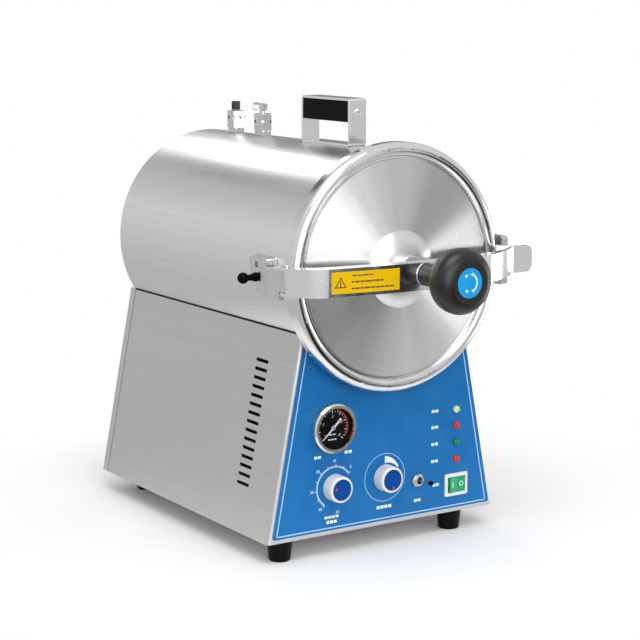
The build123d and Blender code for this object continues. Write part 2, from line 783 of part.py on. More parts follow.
# toggle switch: the bat swings about an upright pin, and rests to the right
TOGGLE_PIVOT_Y = 29.0
TOGGLE_TILT = 10.0
BAT_LENGTH = 29.0
BUSH_R = 5.9
BUSH_FRONT = 21.0
NUT_FRONT = 24.0
BAT_PIN_R = 1.0

with BuildPart() as toggle_switch_body:
    with BuildSketch(facing_front(BUSH_FRONT)):
        with Locations(TOGGLE):
            Circle(BUSH_R)
            Circle(4.6, mode=Mode.SUBTRACT)
    extrude(amount=BUSH_FRONT - MECHANISM_Y)
    with BuildSketch(facing_front(OVERLAY_Y)):
        with Locations(TOGGLE):
            RegularPolygon(8.5, 6)
            Circle(BUSH_R - 0.4, mode=Mode.SUBTRACT)
    extrude(amount=OVERLAY_Y - NUT_FRONT)
    with BuildSketch(facing_front(MECHANISM_Y)):
        with Locations(TOGGLE):
            RectangleRounded(14, 26, 1.5)
            Circle(4.6, mode=Mode.SUBTRACT)
    extrude(amount=-12)
    with BuildSketch(facing_front(MECHANISM_Y + 12)):
        with Locations(TOGGLE):
            Rectangle(14, 26)
    extrude(amount=-8)
    with BuildSketch(facing_up(TOGGLE[1] - 5.2)):
        with Locations((TOGGLE[0], TOGGLE_PIVOT_Y)):
            Circle(BAT_PIN_R)
    extrude(amount=10.4)
toggle_switch_body.part.label = "toggle_switch_body"
export_step(toggle_switch_body.part, "parts/toggle_switch_body.step")

TILT = math.radians(TOGGLE_TILT)
bat_line = Axis(
    (AXIS_X + TOGGLE[0], LID_Y + TOGGLE_PIVOT_Y, AXIS_Z + TOGGLE[1]),
    (math.sin(TILT), -math.cos(TILT), 0),
)
bat_side = Plane(origin=bat_line.position, x_dir=bat_line.direction, z_dir=(0, 0, 1))

with BuildPart() as toggle_lever:
    with BuildSketch(bat_side):
        Polygon(
            (-5, 0),
            (-5, 1.6),
            (-2.2, 2.6),
            (2.2, 2.6),
            (5, 1.5),
            (BAT_LENGTH - 6, 1.9),
            (BAT_LENGTH - 6, 0),
            align=None,
        )
    revolve(axis=bat_line)
    with BuildSketch(facing_up(TOGGLE[1] - 4)):
        with Locations((TOGGLE[0], TOGGLE_PIVOT_Y)):
            Circle(BAT_PIN_R + RUNNING)
    extrude(amount=8, mode=Mode.SUBTRACT)
toggle_lever.part.label = "toggle_lever"
export_step(toggle_lever.part, "parts/toggle_lever.step")

with BuildPart() as toggle_lever_tip:
    with BuildSketch(bat_side):
        Polygon(
            (BAT_LENGTH - 6, 0),
            (BAT_LENGTH - 6, 2.4),
            (BAT_LENGTH - 2, 2.9),
            (BAT_LENGTH - 0.6, 2.2),
            (BAT_LENGTH, 1.0),
            (BAT_LENGTH, 0),
            align=None,
        )
    revolve(axis=bat_line)
toggle_lever_tip.part.label = "toggle_lever_tip"
export_step(toggle_lever_tip.part, "parts/toggle_lever_tip.step")

# rocker switch: the rocker turns about an upright line in its frame
FRAME_SIZE = (35.0, 29.0)
FRAME_BODY = (30.0, 24.0)
FRAME_WINDOW = (27.6, 20.4)
FRAME_FRONT = 24.9
FRAME_BACK = 50.0
ROCKER_PIVOT_Y = 34.0
ROCKER_TILT = 6.0
ROCKER_HEIGHT = 19.8
ROCKER_PIN_R = 1.8
ROCKER_PIN_HALF = 11.4

with BuildPart() as power_switch_frame:
    with BuildSketch(facing_front(FRAME_FRONT)):
        with Locations(ROCKER):
            RectangleRounded(*FRAME_SIZE, 2)
    extrude(amount=FRAME_FRONT - OVERLAY_Y + 0.05)
    chamfer(power_switch_frame.faces().sort_by(Axis.Y)[0].edges(), 0.8)
    with BuildSketch(facing_front(OVERLAY_Y - 0.05)):
        with Locations(ROCKER):
            Rectangle(*FRAME_BODY)
    extrude(amount=OVERLAY_Y - FRAME_BACK)
    with BuildSketch(facing_front(FRAME_FRONT - 1)):
        with Locations(ROCKER):
            Rectangle(*FRAME_WINDOW)
    extrude(amount=FRAME_FRONT - FRAME_BACK + 3, mode=Mode.SUBTRACT)
    with BuildSketch(facing_up(ROCKER[1] - ROCKER_PIN_HALF - 0.1)):
        with Locations((ROCKER[0], ROCKER_PIVOT_Y)):
            Circle(ROCKER_PIN_R + RUNNING)
    extrude(amount=2 * ROCKER_PIN_HALF + 0.2, mode=Mode.SUBTRACT)
power_switch_frame.part.label = "power_switch_frame"
export_step(power_switch_frame.part, "parts/power_switch_frame.step")


def rocker_point(across, forward):
    """Plan point of the rocker, turned about its pivot to the resting tilt."""
    angle = math.radians(ROCKER_TILT)
    x = ROCKER[0] + across * math.cos(angle) + forward * math.sin(angle)
    y = ROCKER_PIVOT_Y + across * math.sin(angle) - forward * math.cos(angle)
    return (x, y)


with BuildPart() as power_switch_rocker:
    with BuildSketch(facing_up(ROCKER[1] - ROCKER_HEIGHT / 2)):
        Polygon(
            rocker_point(-12.2, 9.6),
            rocker_point(0, 8.2),
            rocker_point(12.2, 9.6),
            rocker_point(12.0, 5.5),
            rocker_point(5, -3.5),
            rocker_point(-5, -3.5),
            rocker_point(-12.0, 5.5),
            align=None,
        )
    extrude(amount=ROCKER_HEIGHT)
    with BuildSketch(facing_up(ROCKER[1] - ROCKER_PIN_HALF)):
        with Locations((ROCKER[0], ROCKER_PIVOT_Y)):
            Circle(ROCKER_PIN_R)
    extrude(amount=2 * ROCKER_PIN_HALF)
power_switch_rocker.part.label = "power_switch_rocker"
export_step(power_switch_rocker.part, "parts/power_switch_rocker.step")

LENS_R = 4.6
LENS_RIM_Y = OVERLAY_Y - 0.05
LENS_FRONT = 24.0
LENS_STEM_BACK = 36.0


def lamp_lens(label, heights):
    """Domed lamp lenses at the given heights, with their stems through the panel."""
    with BuildPart() as lenses:
        for z in heights:
            with BuildSketch(facing_front(LENS_RIM_Y)):
                with Locations((LAMP_X, z)):
                    Circle(LENS_R)
            extrude(amount=LENS_RIM_Y - LENS_FRONT)
            fillet(lenses.edges().group_by(Axis.Y)[0].sort_by_distance(
                (AXIS_X + LAMP_X, LID_Y + LENS_FRONT, AXIS_Z + z))[0], 3)
            with BuildSketch(facing_front(LENS_RIM_Y)):
                with Locations((LAMP_X, z)):
                    Circle(LAMP_HOLE_R - 0.2)
            extrude(amount=LENS_RIM_Y - LENS_STEM_BACK)
    lenses.part.label = label
    export_step(lenses.part, f"parts/{label}.step")


lamp_lens("lamp_lens_clear", LAMP_Z[0:1])
lamp_lens("lamp_lens_green", LAMP_Z[2:3])
lamp_lens("lamp_lenses_red", LAMP_Z[1:4:2])

with BuildPart() as lamp_holders:
    with BuildSketch(facing_front(MECHANISM_Y)):
        with Locations(*[(LAMP_X, z) for z in LAMP_Z]):
            Circle(7)
            Circle(LAMP_HOLE_R - 0.2, mode=Mode.SUBTRACT)
    extrude(amount=MECHANISM_Y - LENS_STEM_BACK)
    with BuildSketch(facing_front(LENS_STEM_BACK)):
        with Locations(*[(LAMP_X, z) for z in LAMP_Z]):
            Circle(5)
    extrude(amount=-10)
lamp_holders.part.label = "lamp_holders"
export_step(lamp_holders.part, "parts/lamp_holders.step")

# ---------------------------------------------------------------- lid

RIM_INNER_R = 133.0
GASKET_INNER_R = 128.0
GASKET_OUTER_R = 137.0
GASKET_SEAT = 14.0
CONE_TIP = -1.5
CONE_FOOT = 4.5
BOSS_R = 46.0

with BuildPart() as lid:
    with BuildSketch(facing_right(0)):
        with BuildLine():
            Polyline(
                (CONE_TIP + 4, 0),
                (CONE_TIP, 0),
                (CONE_TIP, BOSS_R),
                (CONE_FOOT, RIM_INNER_R - 2.6),
                (CONE_FOOT + 2, RIM_INNER_R - 2),
                (CONE_FOOT + 2, RIM_INNER_R),
            )
            ThreePointArc((CONE_FOOT + 2, RIM_INNER_R), (1.3, 136.2), (0, 141.5))
            ThreePointArc((0, 141.5), (2.3, 147.6), (8, LID_R))
            Polyline(
                (8, LID_R),
                (LID_BACK, LID_R),
                (LID_BACK, GASKET_OUTER_R),
                (GASKET_SEAT, GASKET_OUTER_R),
                (GASKET_SEAT, GASKET_INNER_R),
                (LID_BACK, GASKET_INNER_R),
                (LID_BACK, VESSEL_R - 1.5),
                (9, VESSEL_R - 3),
                (CONE_TIP + 4, BOSS_R),
                (CONE_TIP + 4, 0),
            )
        make_face()
    revolve(axis=axis_to_back())
lid.part.label = "lid"
export_step(lid.part, "parts/lid.step")

lid_gasket = turned(
    [
        (GASKET_SEAT, GASKET_INNER_R + 0.1),
        (LID_BACK - 0.6, GASKET_INNER_R + 0.1),
        (LID_BACK + 0.3, GASKET_INNER_R + 1.5),
        (LID_BACK + 0.3, GASKET_OUTER_R - 1.5),
        (LID_BACK - 0.6, GASKET_OUTER_R - 0.1),
        (GASKET_SEAT, GASKET_OUTER_R - 0.1),
    ],
    axis_to_back(),
)
lid_gasket.part.label = "lid_gasket"
export_step(lid_gasket.part, "parts/lid_gasket.step")

COLLAR_R = 18.5
COLLAR_FRONT = -25.0
DOME_FRONT = -14.0
SPINDLE_END = -5.3

with BuildPart() as lid_boss:
    with BuildSketch(facing_right(0)):
        with BuildLine():
            Polyline(
                (SPINDLE_END + 0.3, 0),
                (CONE_TIP, 0),
                (CONE_TIP, BOSS_R),
                (CONE_TIP - 1.5, BOSS_R),
            )
            ThreePointArc(
                (CONE_TIP - 1.5, BOSS_R),
                (-10.5, 36),
                (DOME_FRONT, COLLAR_R),
            )
            Polyline(
                (DOME_FRONT, COLLAR_R),
                (COLLAR_FRONT + 1, COLLAR_R),
                (COLLAR_FRONT, COLLAR_R - 1),
                (COLLAR_FRONT, SPINDLE_R + RUNNING),
                (SPINDLE_END + 0.3, SPINDLE_R + RUNNING),
                (SPINDLE_END + 0.3, 0),
            )
        make_face()
    revolve(axis=axis_to_back())
lid_boss.part.label = "lid_boss"
export_step(lid_boss.part, "parts/lid_boss.step")

# ---------------------------------------------------------------- arm across the lid

EAR_R = 7.5
KNUCKLE_R = 4.8
KNUCKLE_LOW = ARM_BOTTOM + ARM_WALL + 0.2
KNUCKLE_HIGH = ARM_TOP - ARM_WALL - 0.2
HINGE_PIN_R = 2.5
NUT_R = 14.5
NUT_FRONT_Y = -55.0
NUT_BACK_Y = -36.0
ARM_LEFT = (-128.0, -42.0)
ARM_BEND = (102.0, -46.0)
TAB_START = 171.0
TAB_END = 201.0
TAB_Y = 0.0
TAB_HALF_THICK = 2.0

with BuildPart() as lid_arm:
    with BuildSketch(facing_up(ARM_BOTTOM)):
        with BuildLine():
            ThreePointArc((HINGE_X - 6.6, HINGE_Y - 3.5), (-153, -28), ARM_LEFT)
            ThreePointArc(ARM_LEFT, (-10, ARM_FACE), ARM_BEND)
            ThreePointArc(ARM_BEND, (140, -27), (TAB_START - 4, TAB_Y - TAB_HALF_THICK - 2))
            Polyline(
                (TAB_START - 4, TAB_Y - TAB_HALF_THICK - 2),
                (TAB_START, TAB_Y - TAB_HALF_THICK),
                (TAB_END, TAB_Y - TAB_HALF_THICK),
                (TAB_END, TAB_Y + TAB_HALF_THICK),
                (TAB_START - 1, TAB_Y + TAB_HALF_THICK),
            )
            ThreePointArc(
                (TAB_START - 1, TAB_Y + TAB_HALF_THICK),
                (141.5, -17.5),
                (ARM_BEND[0] - 3, -30),
            )
            ThreePointArc((ARM_BEND[0] - 3, -30), (-10, -37), (-126, -26))
            ThreePointArc((-126, -26), (-142, -17.5), (HINGE_X + EAR_R, HINGE_Y - 1))
            Line((HINGE_X + EAR_R, HINGE_Y - 1), (HINGE_X - 6.6, HINGE_Y - 3.5))
        make_face()
        with Locations((HINGE_X, HINGE_Y)):
            Circle(EAR_R)
    extrude(amount=ARM_TOP - ARM_BOTTOM)
    tab_corners = lid_arm.edges().filter_by(Axis.Y).group_by(Axis.X)[-1]
    fillet(tab_corners, 9)
    with BuildSketch(facing_up(ARM_BOTTOM + ARM_WALL)):
        with BuildLine():
            ThreePointArc(
                (ARM_LEFT[0] + 3, ARM_LEFT[1] + ARM_WALL),
                (-10, ARM_FACE + ARM_WALL),
                (ARM_BEND[0] - 3, ARM_BEND[1] + ARM_WALL),
            )
            Polyline(
                (ARM_BEND[0] - 3, ARM_BEND[1] + ARM_WALL),
                (ARM_BEND[0] - 3, -20),
                (ARM_LEFT[0] + 3, -20),
                (ARM_LEFT[0] + 3, ARM_LEFT[1] + ARM_WALL),
            )
        make_face()
        with Locations((HINGE_X, HINGE_Y)):
            Circle(KNUCKLE_R + 0.4)
        Polygon(
            (HINGE_X, HINGE_Y),
            (HINGE_X + 14, HINGE_Y + 1),
            (HINGE_X + 14, HINGE_Y + 14),
            (HINGE_X - 30, HINGE_Y + 14),
            (HINGE_X - 30, HINGE_Y - 30),
            (HINGE_X - 16, HINGE_Y - 30),
            align=None,
        )
    extrude(amount=ARM_TOP - ARM_BOTTOM - 2 * ARM_WALL, mode=Mode.SUBTRACT)
    with BuildSketch(facing_front(NUT_FRONT_Y)):
        Circle(NUT_R)
    extrude(amount=NUT_FRONT_Y - NUT_BACK_Y)
    with BuildSketch(facing_front(NUT_FRONT_Y - 1)):
        Circle(SPINDLE_R + RUNNING)
    extrude(amount=NUT_FRONT_Y - NUT_BACK_Y - 2, mode=Mode.SUBTRACT)
    with BuildSketch(facing_up(ARM_BOTTOM - 1)):
        with Locations((HINGE_X, HINGE_Y)):
            Circle(HINGE_PIN_R + RUNNING)
    extrude(amount=ARM_TOP - ARM_BOTTOM + 2, mode=Mode.SUBTRACT)
lid_arm.part.label = "lid_arm"
export_step(lid_arm.part, "parts/lid_arm.step")

PIN_HEAD_R = 4.2
PIN_HEAD = 2.4

with BuildPart() as hinge_pin:
    with BuildSketch(facing_up(ARM_BOTTOM - 0.2 - PIN_HEAD)):
        with Locations((HINGE_X, HINGE_Y)):
            Circle(PIN_HEAD_R)
    extrude(amount=PIN_HEAD)
    with BuildSketch(facing_up(ARM_BOTTOM - 0.2)):
        with Locations((HINGE_X, HINGE_Y)):
            Circle(HINGE_PIN_R)
    extrude(amount=ARM_TOP - ARM_BOTTOM + 0.4)
    with BuildSketch(facing_up(ARM_TOP + 0.2)):
        with Locations((HINGE_X, HINGE_Y)):
            Circle(PIN_HEAD_R)
    extrude(amount=PIN_HEAD)
    fillet(hinge_pin.edges().group_by(Axis.Z)[0] + hinge_pin.edges().group_by(Axis.Z)[-1], 1)
hinge_pin.part.label = "hinge_pin"
export_step(hinge_pin.part, "parts/hinge_pin.step")

BLOCK_LOW = -25.0
BLOCK_HIGH = 9.0
BLOCK_FRONT = 10.0
BLOCK_BACK = 50.0
PLATE_HALF = 3.5
BEHIND_FLANGE = 30.0

with BuildPart() as hinge_bracket:
    with BuildSketch(facing_right(HINGE_X - PLATE_HALF)) as bracket_side:
        Polygon(
            (BLOCK_FRONT, BLOCK_LOW),
            (BLOCK_BACK, BLOCK_LOW),
            (BLOCK_BACK, BLOCK_HIGH),
            (BLOCK_FRONT, BLOCK_HIGH),
            align=None,
        )
        fillet(bracket_side.vertices().group_by(Axis.X)[-1], 5)
        Polygon(
            (HINGE_Y, KNUCKLE_LOW),
            (BLOCK_FRONT, KNUCKLE_LOW),
            (BLOCK_FRONT, BLOCK_HIGH),
            (HINGE_Y, BLOCK_HIGH),
            align=None,
        )
    extrude(amount=2 * PLATE_HALF)
    with BuildSketch(facing_right(HINGE_X + PLATE_HALF)):
        with Locations(((BEHIND_FLANGE + BLOCK_BACK) / 2, (BLOCK_LOW + BLOCK_HIGH) / 2)):
            Rectangle(BLOCK_BACK - BEHIND_FLANGE, BLOCK_HIGH - BLOCK_LOW - 2)
    extrude(amount=-HINGE_X - PLATE_HALF - DRUM_R + 8)
    with BuildSketch(facing_up(KNUCKLE_LOW)):
        with Locations((HINGE_X, HINGE_Y)):
            Circle(KNUCKLE_R)
    extrude(amount=KNUCKLE_HIGH - KNUCKLE_LOW)
    with BuildSketch(facing_front(0)):
        Circle(DRUM_R + 0.1)
    extrude(amount=-BLOCK_BACK - 5, mode=Mode.SUBTRACT)
    with BuildSketch(facing_up(BLOCK_LOW)):
        with Locations((HINGE_X, HINGE_Y)):
            Circle(HINGE_PIN_R)
    extrude(amount=BLOCK_HIGH - BLOCK_LOW + 10, mode=Mode.SUBTRACT)
hinge_bracket.part.label = "hinge_bracket"
export_step(hinge_bracket.part, "parts/hinge_bracket.step")

LATCH_LEFT = 153.0
LATCH_RIGHT = 162.0
LATCH_GAP = 2.0
LATCH_TOP = 28.0
LATCH_BOTTOM = -32.0
LATCH_BACK = 48.0
LATCH_FRONT = -2.0

with BuildPart() as latch_bracket:
    with BuildSketch(facing_right(LATCH_LEFT)):
        with Locations(((LATCH_FRONT + LATCH_BACK) / 2, (LATCH_TOP + LATCH_BOTTOM) / 2)):
            RectangleRounded(LATCH_BACK - LATCH_FRONT, LATCH_TOP - LATCH_BOTTOM, 4)
        with Locations((LATCH_FRONT, ARM_MIDDLE)):
            Rectangle(44, ARM_TOP - ARM_BOTTOM + 2 * LATCH_GAP, mode=Mode.SUBTRACT)
    extrude(amount=LATCH_RIGHT - LATCH_LEFT)
    with BuildSketch(facing_right(DRUM_R - 8)):
        with Locations(((BEHIND_FLANGE + LATCH_BACK) / 2, ARM_MIDDLE)):
            Rectangle(LATCH_BACK - BEHIND_FLANGE, ARM_TOP - ARM_BOTTOM + 8)
    extrude(amount=LATCH_LEFT - DRUM_R + 8)
    with BuildSketch(facing_front(0)):
        Circle(DRUM_R + 0.1)
    extrude(amount=-LATCH_BACK - 5, mode=Mode.SUBTRACT)
latch_bracket.part.label = "latch_bracket"
export_step(latch_bracket.part, "parts/latch_bracket.step")

# ---------------------------------------------------------------- handwheel

NECK_R = 13.5
NECK_END = NUT_FRONT_Y - 0.4
WHEEL_BACK = -95.0
WHEEL_WIDEST = -117.0
HUB_BOTTOM = -120.0
BADGE_R = 17.3
BADGE_DEPTH = 1.4

with BuildPart() as handwheel:
    with BuildSketch(facing_right(0)):
        with BuildLine():
            Polyline(
                (NECK_END, SPINDLE_R),
                (NECK_END, NECK_R),
                (WHEEL_BACK + 6, NECK_R),
                (WHEEL_BACK, NECK_R + 4),
            )
            ThreePointArc((WHEEL_BACK, NECK_R + 4), (-101, 31.5), (WHEEL_WIDEST, WHEEL_R))
            ThreePointArc((WHEEL_WIDEST, WHEEL_R), (-130.5, 34.5), (WHEEL_FRONT, 24))
            Polyline(
                (WHEEL_FRONT, 24),
                (WHEEL_FRONT, BADGE_R),
                (WHEEL_FRONT + BADGE_DEPTH, BADGE_R),
                (WHEEL_FRONT + BADGE_DEPTH, 0),
                (HUB_BOTTOM, 0),
                (HUB_BOTTOM, SPINDLE_R),
                (NECK_END, SPINDLE_R),
            )
        make_face()
    revolve(axis=axis_to_back())
handwheel.part.label = "handwheel"
export_step(handwheel.part, "parts/handwheel.step")

with BuildPart() as handwheel_badge:
    with BuildSketch(facing_front(WHEEL_FRONT + BADGE_DEPTH)):
        Circle(BADGE_R - 0.1)
    extrude(amount=BADGE_DEPTH - 0.2)
handwheel_badge.part.label = "handwheel_badge"
export_step(handwheel_badge.part, "parts/handwheel_badge.step")

with BuildPart() as clamp_spindle:
    with BuildSketch(facing_front(SPINDLE_END)):
        Circle(SPINDLE_R)
    extrude(amount=SPINDLE_END - HUB_BOTTOM)
    chamfer(clamp_spindle.edges(), 0.8)
clamp_spindle.part.label = "clamp_spindle"
export_step(clamp_spindle.part, "parts/clamp_spindle.step")

# ---------------------------------------------------------------- door lock

LOCK_PLATE_FRONT = 51.0
LOCK_PLATE_BACK = 95.0
LOCK_PLATE_LOW = -28.0
LOCK_PLATE_HIGH = 18.0
LOCK_PLATE_X = -142.0
LOCK_MIDDLE_Y = (LOCK_PLATE_FRONT + LOCK_PLATE_BACK) / 2

with BuildPart() as lock_plate:
    with BuildSketch(facing_right(LOCK_PLATE_X)):
        with Locations((LOCK_MIDDLE_Y, (LOCK_PLATE_LOW + LOCK_PLATE_HIGH) / 2)):
            RectangleRounded(
                LOCK_PLATE_BACK - LOCK_PLATE_FRONT,
                LOCK_PLATE_HIGH - LOCK_PLATE_LOW,
                2,
            )
    extrude(amount=8)
    with BuildSketch(facing_front(0)):
        Circle(DRUM_R + 0.1)
    extrude(amount=-LOCK_PLATE_BACK - 5, mode=Mode.SUBTRACT)
lock_plate.part.label = "lock_plate"
export_step(lock_plate.part, "parts/lock_plate.step")

HOUSING_X = -150.0
PLUNGER_Y = 77.0
PLUNGER_Z = -7.0
WINDOW_Y = 80.0
WINDOW_Z = 7.5
WINDOW = 7.0
PLUNGER_STEM_R = 3.0

with BuildPart() as lock_housing:
    with BuildSketch(facing_right(HOUSING_X)):
        with Locations((76, 1.5)):
            RectangleRounded(38, 30, 3)
    extrude(amount=LOCK_PLATE_X - HOUSING_X)
    with BuildSketch(facing_right(HOUSING_X)):
        with Locations((WINDOW_Y, WINDOW_Z)):
            Rectangle(WINDOW, WINDOW)
    extrude(amount=5, mode=Mode.SUBTRACT)
    with BuildSketch(facing_right(HOUSING_X)):
        with Locations((PLUNGER_Y, PLUNGER_Z)):
            Circle(PLUNGER_STEM_R + RUNNING)
    extrude(amount=LOCK_PLATE_X - HOUSING_X, mode=Mode.SUBTRACT)
lock_housing.part.label = "lock_housing"
export_step(lock_housing.part, "parts/lock_housing.step")

PLUNGER_END = -177.0
BALL_R = 6.75
BALL_X = PLUNGER_END + BALL_R
plunger_middle = (AXIS_X, LID_Y + PLUNGER_Y, AXIS_Z + PLUNGER_Z)

with BuildPart() as lock_plunger:
    with BuildSketch(facing_front(PLUNGER_Y).shift_origin(plunger_middle)):
        with BuildLine():
            Polyline(
                (LOCK_PLATE_X - 0.3, 0),
                (LOCK_PLATE_X - 0.3, PLUNGER_STEM_R),
                (HOUSING_X - 0.3, PLUNGER_STEM_R),
                (HOUSING_X - 0.3, 5.0),
                (HOUSING_X - 2, 5.5),
                (HOUSING_X - 4.5, 5.5),
            )
            ThreePointArc((HOUSING_X - 4.5, 5.5), (HOUSING_X - 9.5, 4.0), (BALL_X + 5.6, 3.8))
            ThreePointArc((BALL_X + 5.6, 3.8), (BALL_X, BALL_R), (BALL_X - 6.7, 0.8))
            Polyline((BALL_X - 6.7, 0.8), (BALL_X - 6.7, 0), (LOCK_PLATE_X - 0.3, 0))
        make_face()
    revolve(axis=axis_to_right(PLUNGER_Y, PLUNGER_Z))
lock_plunger.part.label = "lock_plunger"
export_step(lock_plunger.part, "parts/lock_plunger.step")

# ---------------------------------------------------------------- fittings at the back

INLET_FLANGE = (50.0, 24.0)
INLET_DEPTH = 24.0
INLET_RECESS = (23.0, 16.0)
INLET_RECESS_DEPTH = 17.0
CONTACT = (2.0, 4.0)

with BuildPart() as power_inlet:
    with BuildSketch(facing_front(REAR_Y)):
        with Locations(INLET):
            Rectangle(*INLET_BODY)
    extrude(amount=INLET_DEPTH)
    with BuildSketch(facing_front(REAR_Y)):
        with Locations(INLET):
            RectangleRounded(*INLET_FLANGE, 4)
    extrude(amount=-3)
    with BuildSketch(facing_front(REAR_Y + 3)):
        with Locations(INLET):
            RectangleRounded(*INLET_RECESS, 3)
            with Locations((-7, -2), (0, 2), (7, -2)):
                Rectangle(*CONTACT, mode=Mode.SUBTRACT)
    extrude(amount=INLET_RECESS_DEPTH, mode=Mode.SUBTRACT)
power_inlet.part.label = "power_inlet"
export_step(power_inlet.part, "parts/power_inlet.step")

DRAIN_PIPE_R = 6.8
COCK_FRONT = 467.0
COCK_BACK = 476.0
COCK_Y = (COCK_FRONT + COCK_BACK) / 2
COCK_HALF = 9.0
COCK_HEX_R = 10.0
SPOUT_R = 4.0
SPOUT_LENGTH = 19.0
COCK_STEM_R = 3.0
COCK_STEM_TOP = DRAIN[1] + 14.0

with BuildPart() as drain_cock_body:
    with BuildSketch(facing_front(COCK_FRONT)):
        with Locations(DRAIN):
            Circle(DRAIN_PIPE_R)
    extrude(amount=COCK_FRONT - REAR_FRONT_Y + 10)
    with BuildSketch(facing_front(COCK_FRONT)):
        with Locations(DRAIN):
            RegularPolygon(COCK_HEX_R, 6)
    extrude(amount=COCK_FRONT - REAR_Y - 0.1)
    with BuildSketch(facing_front(COCK_BACK)):
        with Locations(DRAIN):
            RectangleRounded(2 * COCK_HALF, 2 * COCK_HALF, 2)
    extrude(amount=COCK_BACK - COCK_FRONT)
    with BuildSketch(facing_up(DRAIN[1] - COCK_HALF)):
        with Locations((DRAIN[0], COCK_Y)):
            Circle(SPOUT_R)
    extrude(amount=-SPOUT_LENGTH)
    with BuildSketch(facing_up(DRAIN[1] + COCK_HALF)):
        with Locations((DRAIN[0], COCK_Y)):
            Circle(COCK_STEM_R)
    extrude(amount=COCK_STEM_TOP - DRAIN[1] - COCK_HALF)
drain_cock_body.part.label = "drain_cock_body"
export_step(drain_cock_body.part, "parts/drain_cock_body.step")

with BuildPart() as drain_cock_lever:
    with BuildSketch(facing_up(DRAIN[1] + COCK_HALF + 0.3)):
        with Locations((DRAIN[0], COCK_Y)):
            Circle(4.5)
        with Locations((DRAIN[0] + 17, COCK_Y)):
            SlotOverall(38, 7.5)
        with Locations((DRAIN[0], COCK_Y)):
            Circle(COCK_STEM_R + RUNNING, mode=Mode.SUBTRACT)
    extrude(amount=4)
drain_cock_lever.part.label = "drain_cock_lever"
export_step(drain_cock_lever.part, "parts/drain_cock_lever.step")
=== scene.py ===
import math

import bmesh
import bpy
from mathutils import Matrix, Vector


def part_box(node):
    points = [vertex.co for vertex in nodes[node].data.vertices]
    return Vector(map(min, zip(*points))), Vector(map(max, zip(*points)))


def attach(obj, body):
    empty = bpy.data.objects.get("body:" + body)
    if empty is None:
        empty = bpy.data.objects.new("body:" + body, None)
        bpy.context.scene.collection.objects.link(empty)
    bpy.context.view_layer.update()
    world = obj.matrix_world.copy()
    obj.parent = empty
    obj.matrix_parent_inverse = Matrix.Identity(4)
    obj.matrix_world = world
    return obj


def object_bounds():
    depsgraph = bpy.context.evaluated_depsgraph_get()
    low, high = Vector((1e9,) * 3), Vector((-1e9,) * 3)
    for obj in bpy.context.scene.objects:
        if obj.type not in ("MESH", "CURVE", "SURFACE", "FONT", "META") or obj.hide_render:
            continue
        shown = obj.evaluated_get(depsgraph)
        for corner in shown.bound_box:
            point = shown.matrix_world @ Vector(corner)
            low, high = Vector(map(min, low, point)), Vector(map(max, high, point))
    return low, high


# Looks of the benchtop autoclave: materials for every CAD node, the printing on the panel,
# gauge and knobs, the arm's label, and the studio around them. The scene is in metres and in
# the CAD's frame; printed shapes are drawn in millimetres from the chamber's line.

MM = 0.001

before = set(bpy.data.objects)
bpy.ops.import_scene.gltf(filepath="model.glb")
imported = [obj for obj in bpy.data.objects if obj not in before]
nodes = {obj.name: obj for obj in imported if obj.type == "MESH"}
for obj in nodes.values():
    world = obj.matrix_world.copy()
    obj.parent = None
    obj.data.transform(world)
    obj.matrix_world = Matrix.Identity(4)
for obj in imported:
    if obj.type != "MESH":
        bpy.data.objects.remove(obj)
cad_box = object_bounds()

# ---------------------------------------------------------------- places, read from the frame


def middle(node):
    """Centre of a CAD node's box."""
    low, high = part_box(node)
    return (low + high) / 2


DIAL_THICK = 1.0 * MM

LID = middle("lid")
AXIS_X, AXIS_Z = LID.x, LID.z
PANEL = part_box("front_overlay")[0].y
GAUGE = middle("gauge_dial")
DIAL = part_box("gauge_dial")[1].y - DIAL_THICK
TIMER = middle("timer_knob")
THERMOSTAT = middle("thermostat_knob")


# ---------------------------------------------------------------- material tools

# Sockets of a Mix node: the first and second value and the result, for colours and numbers.
COLOR_A, COLOR_B, COLOR_OUT = 6, 7, 2
NUMBER_A, NUMBER_B, NUMBER_OUT = 2, 3, 0


def material(name, color, metallic, roughness, **sockets):
    """Material with the plain values set on the shader's own sockets."""
    made = bpy.data.materials.new(name)
    made.use_nodes = True
    shader = made.node_tree.nodes["Principled BSDF"]
    shader.inputs["Base Color"].default_value = (*color, 1.0)
    shader.inputs["Metallic"].default_value = metallic
    shader.inputs["Roughness"].default_value = roughness
    for socket, value in sockets.items():
        shader.inputs[socket.replace("_", " ")].default_value = value
    return made, made.node_tree, shader


def add(tree, kind, **values):
    """New shader node with properties and input values set by name."""
    node = tree.nodes.new(kind)
    for key, value in values.items():
        if hasattr(node, key):
            setattr(node, key, value)
        else:
            node.inputs[key.replace("_", " ")].default_value = value
    return node


def object_point(tree):
    """Place on the object, in metres of its own space."""
    return add(tree, "ShaderNodeTexCoord").outputs["Object"]


def noise(tree, point, stretch, detail=3.0):
    """Noise over a point whose axes are stretched, in waves per metre."""
    mapping = add(tree, "ShaderNodeMapping", Scale=stretch)
    tree.links.new(point, mapping.inputs["Vector"])
    texture = add(tree, "ShaderNodeTexNoise", Scale=1.0, Detail=detail)
    tree.links.new(mapping.outputs["Vector"], texture.inputs["Vector"])
    return texture.outputs[0]


def ranged(tree, value, low, high, start=0.3, end=0.7):
    """Maps a value between start and end onto low to high; noise lies mostly in 0.3 to 0.7."""
    node = add(tree, "ShaderNodeMapRange", From_Min=start, From_Max=end, To_Min=low, To_Max=high)
    tree.links.new(value, node.inputs["Value"])
    return node.outputs["Result"]


